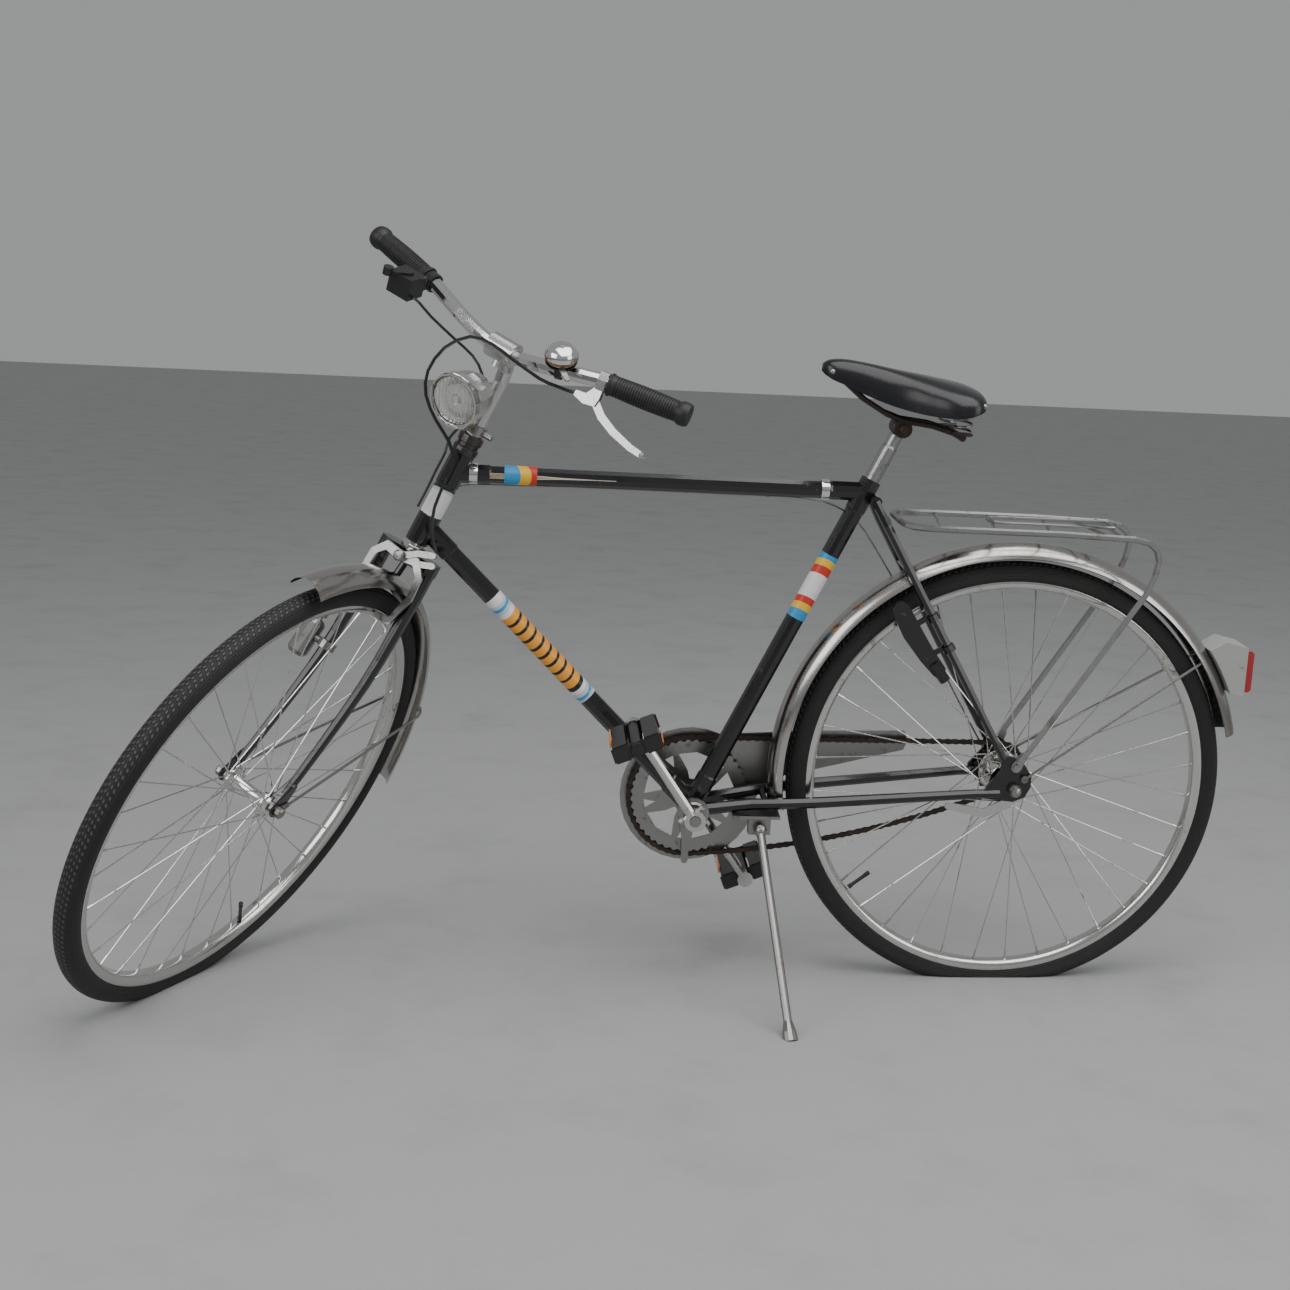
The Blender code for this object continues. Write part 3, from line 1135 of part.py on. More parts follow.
def settle():
    """Rear axle height and pitch at which both tyres press into the floor as far as stated."""
    lean = Matrix.Rotation(LEAN, 4, "X")
    height = TYRE_RING * math.cos(LEAN) + TYRE_R - REAR_SINK
    turn = Matrix.Rotation(STEER, 4, UP)
    axle = HEAD_BOT + turn @ (FRONT_AXLE - HEAD_BOT)
    normal = turn @ Vector((0, 1, 0))

    def lowest(pitch):
        world = lean @ Matrix.Rotation(pitch, 4, "Y")
        tilt = (world @ normal).z
        return height + (world @ axle).z - TYRE_RING * math.sqrt(1 - tilt * tilt) - TYRE_R

    low, high = math.radians(-5), math.radians(5)
    for _ in range(60):
        middle = (low + high) / 2
        if lowest(middle) + FRONT_SINK > 0:
            high = middle
        else:
            low = middle
    world = lean @ Matrix.Rotation((low + high) / 2, 4, "Y")
    world.translation = Vector((0, -TYRE_RING * math.sin(LEAN), height))
    return world


def cut_at_floor(obj):
    """Trim the piece flat where it meets the floor."""
    bpy.context.view_layer.update()
    world = obj.matrix_world
    local = world.inverted()
    bm = bmesh.new()
    bm.from_mesh(obj.data)
    made = bmesh.ops.bisect_plane(bm, geom=bm.verts[:] + bm.edges[:] + bm.faces[:],
                                  plane_co=local @ Vector((0, 0, 0)),
                                  plane_no=local.to_3x3() @ Vector((0, 0, -1)), clear_outer=True)
    edges = [e for e in made["geom_cut"] if isinstance(e, bmesh.types.BMEdge)]
    bmesh.ops.edgenet_fill(bm, edges=edges)
    bmesh.ops.recalc_face_normals(bm, faces=bm.faces[:])
    bm.to_mesh(obj.data)
    bm.free()
    obj.data.set_sharp_from_angle(angle=math.radians(50))


def main():
    for obj in list(bpy.data.objects):
        bpy.data.objects.remove(obj)

    root = Pivot("pivot_bicycle", (0, 0, 0), None)
    steering = Pivot("pivot_steering", HEAD_BOT, UP, root, STEER)
    rear_wheel = Pivot("pivot_rear_wheel", (0, 0, 0), LEFT, root)
    sprocket = Pivot("pivot_rear_sprocket", (0, CHAIN_Y, 0), LEFT, root)
    front_wheel = Pivot("pivot_front_wheel", FRONT_AXLE, LEFT, steering)
    crank = Pivot("pivot_crankset", BB, LEFT, root)
    ahead = Vector((-math.cos(CRANK_REST), 0, math.sin(CRANK_REST)))
    pedal_left = Pivot("pivot_pedal_left", BB + ahead * CRANK + LEFT * 0.12, LEFT, crank)
    pedal_right = Pivot("pivot_pedal_right", BB - ahead * CRANK - LEFT * 0.12, LEFT, crank)
    post = Pivot("pivot_seat_post", on_seat_tube(SEAT_TUBE + SEAT_TUBE_END), SEAT_UP, root)
    saddle = Pivot("pivot_saddle", on_seat_tube(SADDLE_AXIS), LEFT, post)
    down = (STAND_FOOT - STAND_PIVOT).normalized()
    stand = Pivot("pivot_kickstand", STAND_PIVOT, down.cross(STAND_FOLDED), root)
    clip = Pivot("pivot_rack_clip", (0.130, 0, 0.404 + 0.005 + GAP), -LEFT, root)
    lamp = Pivot("pivot_headlamp", LAMP_BOLT, LEFT, steering)
    bolt = on_steerer(0.025)
    arm_left = Pivot("pivot_brake_arm_left", bolt + FWD * 0.020, FWD, steering)
    arm_right = Pivot("pivot_brake_arm_right", bolt + FWD * 0.0253, -FWD, steering)
    centre = on_bar(CLAMP_OUT, -1)[0]
    drop = Vector((-0.406, 0, -0.914)).normalized()
    lever_axis = LEFT.cross(drop).normalized()
    lever = Pivot("pivot_brake_lever", centre + drop * 0.0285, lever_axis, steering)
    shift = Pivot("pivot_shifter_lever", (-0.845, 0.176, 0.6868), (0, 0, 1), steering)
    centre = bar_point(0.095)[0]
    bell = Pivot("pivot_bell_lever", centre + BELL_AXIS * 0.0222 + Vector((-0.016, -0.013, -0.005)),
                 BELL_AXIS, steering)

    build_frame(root)
    build_rear_axle(root)
    build_wheel("front", FRONT_AXLE, front_wheel, 0.033, 0.0210, 0.0095, 0.040, 0.0185, 0.0053)
    build_wheel("rear", Vector((0, 0, 0)), rear_wheel, 0.0305, 0.0340, 0.0260, 0.045, 0.0310, 0.0056)
    build_fenders(root, steering)
    build_fork(steering)
    build_cockpit(steering, bell, lever, shift, lever_axis)
    build_headlamp(steering, lamp)
    build_front_brake(steering, arm_left, arm_right)
    build_dynamo(steering)
    build_cables(steering, root)
    build_cranks(crank, pedal_left, pedal_right)
    build_chain(root)
    build_sprocket(sprocket)
    build_saddle(post, saddle)
    build_rack(root, clip)
    build_tail_lamp(root)
    build_lock(root)
    build_stand(root, stand, 0.010)

    root.empty.matrix_basis = settle()
    for name in ("rear_tyre", "front_tyre", "kickstand_leg"):
        cut_at_floor(bpy.data.objects[name])


main()
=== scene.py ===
import json
import math

import bpy
from mathutils import Matrix, Vector


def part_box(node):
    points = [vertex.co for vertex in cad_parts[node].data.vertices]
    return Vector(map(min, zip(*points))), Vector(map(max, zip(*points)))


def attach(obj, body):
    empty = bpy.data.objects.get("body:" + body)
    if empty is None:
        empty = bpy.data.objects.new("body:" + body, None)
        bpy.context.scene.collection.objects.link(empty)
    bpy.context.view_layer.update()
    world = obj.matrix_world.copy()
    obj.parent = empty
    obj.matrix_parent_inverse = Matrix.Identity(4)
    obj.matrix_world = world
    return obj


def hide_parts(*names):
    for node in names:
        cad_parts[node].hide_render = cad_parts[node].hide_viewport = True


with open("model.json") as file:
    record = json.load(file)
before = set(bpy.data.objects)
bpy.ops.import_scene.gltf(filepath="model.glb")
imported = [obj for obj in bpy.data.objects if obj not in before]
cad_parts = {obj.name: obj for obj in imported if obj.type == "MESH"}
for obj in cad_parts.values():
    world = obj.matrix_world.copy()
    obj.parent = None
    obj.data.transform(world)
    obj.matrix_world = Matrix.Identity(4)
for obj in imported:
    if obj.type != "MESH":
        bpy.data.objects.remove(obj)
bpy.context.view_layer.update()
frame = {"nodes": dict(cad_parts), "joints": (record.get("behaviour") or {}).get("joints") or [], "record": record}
nodes = frame["nodes"]
joints = {joint["name"]: joint for joint in frame["joints"]}
scene = bpy.context.scene

# ---------------------------------------------------------------- where things are

REAR = Vector(joints["rear_wheel_spin"]["pos_m"])
SIDE = -Vector(joints["rear_wheel_spin"]["axis"]).normalized()
CRANK_AXLE = Vector(joints["crank_spin"]["pos_m"])
STEER_AT = Vector(joints["steering"]["pos_m"])
STEER_AXIS = Vector(joints["steering"]["axis"]).normalized()
FRONT = Vector(joints["front_wheel_spin"]["pos_m"])
FRONT_SIDE = -Vector(joints["front_wheel_spin"]["axis"]).normalized()
# Sizes of the bicycle standing straight, with the rear axle at the origin.
BB = Vector((-0.491, 0.0, -0.058))
HEAD_ANGLE = math.radians(65.0)
SEAT_TUBE = 0.555
TOP_TUBE = 0.6175
PARKED_STEER = math.radians(61.4)
TYRE_RING = 0.3295
TYRE_R = 0.0178
SPOKES = 36
SPOKE_END = 0.3030
FENDER_RING = 0.346
FENDER_R = 0.0295
RING_R = 0.0925
SPROCKET_R = 0.0398
ROLLER_LIFT = 0.0025
CHAIN_Y = 0.043
PITCH = 0.0127
UP = Vector((math.cos(HEAD_ANGLE), 0, math.sin(HEAD_ANGLE)))
CLUSTER = BB + UP * SEAT_TUBE
HEAD_MID = CLUSTER - Vector((TOP_TUBE, 0, 0))

# The parked bicycle's own directions, from the line between its two rear joints.
toward = CRANK_AXLE - REAR
across = SIDE.cross(toward)
AHEAD = (toward * BB.x + across * BB.z) / BB.length_squared
RISE = (toward * BB.z - across * BB.x) / BB.length_squared
BIKE = Matrix((AHEAD.normalized(), SIDE, RISE.normalized())).transposed().to_4x4()
BIKE.translation = REAR
TURN = (Matrix.Translation(STEER_AT) @ Matrix.Rotation(PARKED_STEER, 4, STEER_AXIS)
        @ Matrix.Translation(-STEER_AT))
STEERED = TURN @ BIKE


# ---------------------------------------------------------------- making shapes

def clear_selection():
    if bpy.context.object and bpy.context.object.mode != "OBJECT":
        bpy.ops.object.mode_set(mode="OBJECT")
    bpy.ops.object.select_all(action="DESELECT")


def pick(obj):
    clear_selection()
    obj.select_set(True)
    bpy.context.view_layer.objects.active = obj


def settle_in_place(obj, place=None):
    """Put the object's place into its mesh."""
    if place is not None:
        obj.matrix_world = place @ obj.matrix_world
    pick(obj)
    bpy.ops.object.transform_apply(location=True, rotation=True, scale=True)


def smooth(obj, angle=35.0):
    pick(obj)
    bpy.ops.object.shade_smooth_by_angle(angle=math.radians(angle))


def spun(name, profile, steps=96, sweep=360.0, start=0.0, place=None, wall=0.0, closed=False):
    """Profile of (radius, offset) points spun about local Y, then placed."""
    mesh = bpy.data.meshes.new(name)
    ray = Vector((math.cos(math.radians(start)), 0, math.sin(math.radians(start))))
    points = [ray * r + Vector((0, y, 0)) for r, y in profile]
    edges = [(i, i + 1) for i in range(len(points) - 1)]
    if closed:
        edges.append((len(points) - 1, 0))
    mesh.from_pydata(points, edges, [])
    obj = bpy.data.objects.new(name, mesh)
    scene.collection.objects.link(obj)
    pick(obj)
    bpy.ops.object.mode_set(mode="EDIT")
    bpy.ops.mesh.select_all(action="SELECT")
    bpy.ops.mesh.spin(steps=steps, angle=math.radians(sweep), center=(0, 0, 0), axis=(0, 1, 0))
    bpy.ops.mesh.select_all(action="SELECT")
    bpy.ops.mesh.remove_doubles(threshold=0.00002)
    bpy.ops.mesh.normals_make_consistent(inside=False)
    bpy.ops.object.mode_set(mode="OBJECT")
    if wall:
        skin = obj.modifiers.new("wall", "SOLIDIFY")
        skin.thickness = wall
        skin.offset = 0.0
        pick(obj)
        bpy.ops.object.modifier_apply(modifier="wall")
    if place is not None:
        settle_in_place(obj, place)
    smooth(obj)
    return obj


def wires(name, paths, radius, place=None, resolution=2, closed=False, thick=None):
    """One or more round wires along their points, as one mesh."""
    curve = bpy.data.curves.new(name, "CURVE")
    curve.dimensions = "3D"
    curve.bevel_depth = radius
    curve.bevel_resolution = resolution
    curve.use_fill_caps = True
    for points in paths:
        spline = curve.splines.new("POLY")
        spline.points.add(len(points) - 1)
        for i, point in enumerate(points):
            spline.points[i].co = (*point, 1.0)
            spline.points[i].radius = thick[i] if thick else 1.0
        spline.use_cyclic_u = closed
    obj = bpy.data.objects.new(name, curve)
    scene.collection.objects.link(obj)
    pick(obj)
    bpy.ops.object.convert(target="MESH")
    obj = bpy.context.object
    if place is not None:
        settle_in_place(obj, place)
    smooth(obj, 50.0)
    return obj


def along(origin, direction, reference=(0, 1, 0)):
    """Placement whose local Y runs along a direction."""
    y = Vector(direction).normalized()
    x = Vector(reference).cross(y)
    if x.length < 1e-4:
        x = Vector((1, 0, 0)).cross(y)
    x.normalize()
    z = x.cross(y)
    place = Matrix((x, y, z)).transposed().to_4x4()
    place.translation = Vector(origin)
    return place


def block(name, size, place, bevel=0.0008, segments=2):
    """Rounded block of a given size, centred in its placement."""
    clear_selection()
    bpy.ops.mesh.primitive_cube_add(size=1.0)
    obj = bpy.context.object
    obj.name = name
    obj.scale = size
    bpy.ops.object.transform_apply(location=True, rotation=True, scale=True)
    bpy.ops.object.mode_set(mode="EDIT")
    bpy.ops.mesh.select_all(action="SELECT")
    bpy.ops.mesh.bevel(offset=bevel, segments=segments)
    bpy.ops.object.mode_set(mode="OBJECT")
    settle_in_place(obj, place)
    smooth(obj)
    return obj


def joined(name, parts):
    clear_selection()
    for part in parts:
        part.select_set(True)
    bpy.context.view_layer.objects.active = parts[0]
    bpy.ops.object.join()
    obj = bpy.context.object
    obj.name = name
    return obj


# ---------------------------------------------------------------- shared effects

def group_of(name, inputs, outputs):
    tree = bpy.data.node_groups.new(name, "ShaderNodeTree")
    for label, value in inputs:
        made = tree.interface.new_socket(name=label, in_out="INPUT", socket_type="NodeSocketFloat")
        made.default_value = value
    for label, kind in outputs:
        tree.interface.new_socket(name=label, in_out="OUTPUT", socket_type=kind)
    return tree, tree.nodes.new("NodeGroupInput"), tree.nodes.new("NodeGroupOutput")


def wear_group():
    """Worn patches: large clouds broken up by a fine speckle."""
    tree, given, out = group_of("worn patches",
                                [("Size", 12.0), ("Amount", 0.4), ("Softness", 0.1)],
                                [("Mask", "NodeSocketFloat")])
    where = tree.nodes.new("ShaderNodeTexCoord")
    cloud = tree.nodes.new("ShaderNodeTexNoise")
    cloud.inputs["Detail"].default_value = 8.0
    cloud.inputs["Roughness"].default_value = 0.68
    low = tree.nodes.new("ShaderNodeMath")
    low.operation = "SUBTRACT"
    low.inputs[0].default_value = 1.0
    high = tree.nodes.new("ShaderNodeMath")
    high.operation = "ADD"
    spread = tree.nodes.new("ShaderNodeMapRange")
    tree.links.new(where.outputs["Object"], cloud.inputs["Vector"])
    tree.links.new(given.outputs["Size"], cloud.inputs["Scale"])
    tree.links.new(given.outputs["Amount"], low.inputs[1])
    tree.links.new(low.outputs[0], high.inputs[0])
    tree.links.new(given.outputs["Softness"], high.inputs[1])
    tree.links.new(cloud.outputs["Fac"], spread.inputs["Value"])
    tree.links.new(low.outputs[0], spread.inputs["From Min"])
    tree.links.new(high.outputs[0], spread.inputs["From Max"])
    tree.links.new(spread.outputs["Result"], out.inputs["Mask"])
    return tree


def grain_group():
    """Fine surface grain as a height."""
    tree, given, out = group_of("fine grain", [("Size", 600.0), ("Depth", 0.5)],
                                [("Height", "NodeSocketFloat")])
    where = tree.nodes.new("ShaderNodeTexCoord")
    fine = tree.nodes.new("ShaderNodeTexNoise")
    fine.inputs["Detail"].default_value = 3.0
    scale = tree.nodes.new("ShaderNodeMath")
    scale.operation = "MULTIPLY"
    tree.links.new(where.outputs["Object"], fine.inputs["Vector"])
    tree.links.new(given.outputs["Size"], fine.inputs["Scale"])
    tree.links.new(fine.outputs["Fac"], scale.inputs[0])
    tree.links.new(given.outputs["Depth"], scale.inputs[1])
    tree.links.new(scale.outputs[0], out.inputs["Height"])
    return tree


WEAR = wear_group()
GRAIN = grain_group()


def placed_group(tree, group, **values):
    node = tree.nodes.new("ShaderNodeGroup")
    node.node_tree = group
    for label, value in values.items():
        node.inputs[label].default_value = value
    return node


def surface(name, colour, worn, rough, rough_worn, metal=0.0, size=14.0, amount=0.42, soft=0.12,
            grain=700.0, depth=0.15, coat=0.0, dirt=(0.10, 0.085, 0.065), dirt_amount=0.36):
    """A finish with worn patches, settled dirt and fine grain."""
    mat = bpy.data.materials.new(name)
    mat.use_nodes = True
    tree = mat.node_tree
    shader = tree.nodes["Principled BSDF"]
    shader.inputs["Metallic"].default_value = metal
    shader.inputs["Coat Weight"].default_value = coat
    wear = placed_group(tree, WEAR, Size=size, Amount=amount, Softness=soft)
    dust = placed_group(tree, WEAR, Size=size * 2.7, Amount=dirt_amount, Softness=0.22)
    fine = placed_group(tree, GRAIN, Size=grain, Depth=1.0)
    first = tree.nodes.new("ShaderNodeMix")
    first.data_type = "RGBA"
    first.inputs["A"].default_value = (*colour, 1)
    first.inputs["B"].default_value = (*worn, 1)
    second = tree.nodes.new("ShaderNodeMix")
    second.data_type = "RGBA"
    second.inputs["B"].default_value = (*dirt, 1)
    dull = tree.nodes.new("ShaderNodeMix")
    dull.inputs["A"].default_value = rough
    dull.inputs["B"].default_value = rough_worn
    bump = tree.nodes.new("ShaderNodeBump")
    bump.inputs["Strength"].default_value = depth
    bump.inputs["Distance"].default_value = 0.0005
    links = tree.links
    links.new(wear.outputs["Mask"], first.inputs["Factor"])
    links.new(first.outputs["Result"], second.inputs["A"])
    links.new(dust.outputs["Mask"], second.inputs["Factor"])
    links.new(second.outputs["Result"], shader.inputs["Base Color"])
    links.new(wear.outputs["Mask"], dull.inputs["Factor"])
    links.new(dull.outputs["Result"], shader.inputs["Roughness"])
    links.new(fine.outputs["Height"], bump.inputs["Height"])
    links.new(bump.outputs["Normal"], shader.inputs["Normal"])
    return mat


def tread_rubber(name, centre, side):
    """Tyre rubber with a chevron block tread around the crown and a ribbed side wall."""
    mat = surface(name, (0.011, 0.011, 0.011), (0.026, 0.025, 0.023), 0.62, 0.85, size=9.0,
                  depth=0.3, dirt=(0.055, 0.050, 0.043), dirt_amount=0.30)
    tree = mat.node_tree
    links = tree.links
    rotation = along((0, 0, 0), side).to_3x3().transposed()
    mapping = tree.nodes.new("ShaderNodeMapping")
    mapping.inputs["Rotation"].default_value = rotation.to_euler()
    mapping.inputs["Location"].default_value = -(rotation @ Vector(centre))
    where = tree.nodes.new("ShaderNodeTexCoord")
    links.new(where.outputs["Object"], mapping.inputs["Vector"])
    parts = tree.nodes.new("ShaderNodeSeparateXYZ")
    links.new(mapping.outputs["Vector"], parts.inputs["Vector"])

    def maths(operation, a, b=None):
        node = tree.nodes.new("ShaderNodeMath")
        node.operation = operation
        for slot, value in ((0, a), (1, b)):
            if value is None:
                continue
            if isinstance(value, (int, float)):
                node.inputs[slot].default_value = value
            else:
                links.new(value, node.inputs[slot])
        return node.outputs[0]

    angle = maths("ARCTAN2", parts.outputs["X"], parts.outputs["Z"])
    off = maths("ABSOLUTE", parts.outputs["Y"])
    slant = maths("ADD", maths("MULTIPLY", angle, 210.0), maths("MULTIPLY", off, 420.0))
    chevron = maths("SINE", slant)
    rows = maths("SINE", maths("MULTIPLY", parts.outputs["Y"], 1260.0))
    raised = maths("ADD", maths("MULTIPLY", rows, 3.0), 1.2)
    blocks = maths("MINIMUM", maths("MULTIPLY", chevron, 3.0), raised)
    blocks = maths("MAXIMUM", maths("MINIMUM", blocks, 1.0), -1.0)
    crown = maths("LESS_THAN", off, 0.0125)
    radius = maths("SQRT", maths("ADD", maths("POWER", parts.outputs["X"], 2.0),
                                 maths("POWER", parts.outputs["Z"], 2.0)))
    tread = maths("MULTIPLY", crown, maths("GREATER_THAN", radius, 0.333))
    wall = maths("SUBTRACT", 1.0, tread)
    ribs = maths("MULTIPLY", maths("SINE", maths("MULTIPLY", radius, 2600.0)), 0.16)
    height = maths("ADD", maths("MULTIPLY", blocks, tread), maths("MULTIPLY", ribs, wall))
    worn = maths("MULTIPLY", maths("MULTIPLY", maths("ADD", blocks, 1.0), 0.42), tread)
    shade = tree.nodes.new("ShaderNodeMix")
    shade.data_type = "RGBA"
    shade.inputs["B"].default_value = (0.085, 0.083, 0.078, 1)
    shader = tree.nodes["Principled BSDF"]
    under = shader.inputs["Base Color"].links[0].from_socket
    links.new(under, shade.inputs["A"])
    links.new(worn, shade.inputs["Factor"])
    links.new(shade.outputs["Result"], shader.inputs["Base Color"])
    bump = tree.nodes.new("ShaderNodeBump")
    bump.inputs["Strength"].default_value = 0.9
    bump.inputs["Distance"].default_value = 0.0030
    links.new(height, bump.inputs["Height"])
    links.new(tree.nodes["Bump"].outputs["Normal"], bump.inputs["Normal"])
    links.new(bump.outputs["Normal"], tree.nodes["Principled BSDF"].inputs["Normal"])
    return mat


def banded(name, stops, base_rough=0.35):
    """Printed transfer: bands of colour that follow the piece's own U, with scuffs."""
    mat = surface(name, (1, 1, 1), (0.5, 0.5, 0.5), base_rough, 0.6, size=60.0, amount=0.34)
    tree = mat.node_tree
    uv = tree.nodes.new("ShaderNodeUVMap")
    parts = tree.nodes.new("ShaderNodeSeparateXYZ")
    ramp = tree.nodes.new("ShaderNodeValToRGB")
    ramp.color_ramp.interpolation = "CONSTANT"
    elements = ramp.color_ramp.elements
    elements[0].position = stops[0][0]
    elements[0].color = (*stops[0][1], 1)
    elements[1].position = stops[1][0]
    elements[1].color = (*stops[1][1], 1)
    for position, colour in stops[2:]:
        made = elements.new(position)
        made.color = (*colour, 1)
    tree.links.new(uv.outputs["UV"], parts.inputs["Vector"])
    tree.links.new(parts.outputs["X"], ramp.inputs["Fac"])
    first = [n for n in tree.nodes if n.type == "MIX" and n.data_type == "RGBA"][0]
    tree.links.new(ramp.outputs["Color"], first.inputs["A"])
    return mat


BLACK = surface("gloss black paint", (0.008, 0.008, 0.009), (0.045, 0.040, 0.034), 0.16, 0.42,
                size=38.0, amount=0.33, soft=0.03, coat=0.35, dirt=(0.030, 0.026, 0.022),
                dirt_amount=0.30)
CHROME = surface("old chrome", (0.62, 0.61, 0.59), (0.26, 0.21, 0.17), 0.14, 0.40, 1.0, size=26.0,
                 amount=0.42, dirt=(0.20, 0.17, 0.145), dirt_amount=0.34)
STAINLESS = surface("fender steel", (0.47, 0.455, 0.435), (0.31, 0.27, 0.235), 0.17, 0.32, 1.0,
                    size=7.0, amount=0.48, soft=0.22, dirt=(0.20, 0.17, 0.145), dirt_amount=0.33)
BRIGHT = surface("bright chrome", (0.74, 0.74, 0.73), (0.42, 0.38, 0.34), 0.08, 0.25, 1.0,
                 size=44.0, amount=0.34, dirt=(0.24, 0.21, 0.18), dirt_amount=0.30)
STEEL = surface("dull steel", (0.31, 0.305, 0.295), (0.17, 0.13, 0.10), 0.32, 0.58, 1.0, size=40.0,
                amount=0.43, dirt=(0.11, 0.09, 0.07))
ZINC = surface("zinc plate", (0.34, 0.345, 0.34), (0.22, 0.20, 0.18), 0.40, 0.60, 1.0, size=26.0,
               amount=0.46, dirt=(0.22, 0.20, 0.18))
ALLOY = surface("cast alloy", (0.58, 0.58, 0.57), (0.40, 0.39, 0.37), 0.24, 0.44, 1.0, size=34.0,
                amount=0.40, grain=900.0, depth=0.25, dirt=(0.20, 0.18, 0.155), dirt_amount=0.32)
RUST = surface("oily rust", (0.040, 0.030, 0.025), (0.105, 0.058, 0.034), 0.46, 0.78, 0.55,
               size=70.0, amount=0.46, depth=0.5, dirt=(0.022, 0.017, 0.014), dirt_amount=0.42)
DARK = surface("dark steel", (0.085, 0.080, 0.076), (0.17, 0.13, 0.10), 0.34, 0.56, 0.9, size=50.0,
               amount=0.42)
RUBBER = surface("grip rubber", (0.012, 0.012, 0.013), (0.032, 0.031, 0.030), 0.48, 0.66, size=40.0,
                 depth=0.35, dirt=(0.05, 0.046, 0.040), dirt_amount=0.28)
VINYL = surface("saddle vinyl", (0.010, 0.010, 0.012), (0.030, 0.030, 0.032), 0.24, 0.40, size=20.0,
                grain=420.0, depth=0.30, dirt=(0.045, 0.042, 0.038), dirt_amount=0.28)
PLASTIC = surface("black plastic", (0.014, 0.014, 0.015), (0.04, 0.04, 0.04), 0.34, 0.5, size=60.0,
                  dirt=(0.05, 0.045, 0.04), dirt_amount=0.30)
GREY = surface("grey enamel", (0.34, 0.34, 0.33), (0.22, 0.21, 0.20), 0.38, 0.55, size=40.0)
RED = surface("red lens", (0.34, 0.010, 0.012), (0.22, 0.008, 0.010), 0.12, 0.25, size=60.0,
              coat=0.5, dirt=(0.12, 0.02, 0.02), dirt_amount=0.3)
AMBER = surface("amber reflector", (0.75, 0.20, 0.01), (0.5, 0.12, 0.01), 0.16, 0.3, size=60.0,
                coat=0.5, dirt=(0.18, 0.08, 0.03), dirt_amount=0.34)
SHEATH = surface("cable sheath", (0.014, 0.014, 0.015), (0.035, 0.034, 0.033), 0.36, 0.55,
                 size=80.0)
CABLE = surface("bare cable", (0.34, 0.33, 0.31), (0.18, 0.13, 0.10), 0.34, 0.6, 1.0, size=90.0)
GLASS = surface("lamp glass", (0.93, 0.94, 0.92), (0.80, 0.80, 0.77), 0.05, 0.16, size=30.0,
                dirt=(0.75, 0.73, 0.68), dirt_amount=0.28)
GLASS.node_tree.nodes["Principled BSDF"].inputs["Transmission Weight"].default_value = 0.86


def add_flutes(mat):
    """Upright ribs pressed into the lamp's glass."""
    tree = mat.node_tree
    flutes = tree.nodes.new("ShaderNodeTexWave")
    flutes.inputs["Scale"].default_value = 60.0
    flutes.inputs["Distortion"].default_value = 0.6
    where = tree.nodes.new("ShaderNodeTexCoord")
    bump = tree.nodes.new("ShaderNodeBump")
    bump.inputs["Strength"].default_value = 0.7
    bump.inputs["Distance"].default_value = 0.0012
    tree.links.new(where.outputs["Object"], flutes.inputs["Vector"])
    tree.links.new(flutes.outputs["Fac"], bump.inputs["Height"])
    tree.links.new(bump.outputs["Normal"], tree.nodes["Principled BSDF"].inputs["Normal"])


add_flutes(GLASS)
MIRROR = surface("lamp reflector", (0.86, 0.85, 0.82), (0.7, 0.68, 0.64), 0.08, 0.2, 1.0, size=30.0)
BRONZE = surface("tarnished band", (0.34, 0.22, 0.12), (0.16, 0.09, 0.05), 0.30, 0.5, 1.0,
                 size=80.0)

FINISHES = {
    "black_paint": BLACK, "chrome": CHROME, "bright_chrome": BRIGHT, "dull_steel": STEEL,
    "zinc": ZINC, "aluminium": ALLOY, "rusty_steel": RUST, "dark_steel": DARK,
    "tyre_rubber": RUBBER, "grip_rubber": RUBBER, "saddle_vinyl": VINYL, "black_plastic": PLASTIC,
    "clear_glass": GLASS, "red_lens": RED, "grey_paint": GREY, "cable_black": SHEATH,
    "cable_steel": CABLE,
}
slot_of = {part["node"]: part["material_slot"] for part in frame["record"]["subparts"]}
for name, obj in nodes.items():
    obj.data.materials.clear()
    obj.data.materials.append(FINISHES[slot_of[name]])


def done(obj, mat, body, slot, *replaced):
    """Give a finished piece its material and body, and hide the CAD nodes it stands for; the slot argument is not
    used.
    """
    obj.data.materials.clear()
    obj.data.materials.append(mat)
    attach(obj, body)
    if replaced:
        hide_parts(*replaced)
    return obj


# ---------------------------------------------------------------- wheels

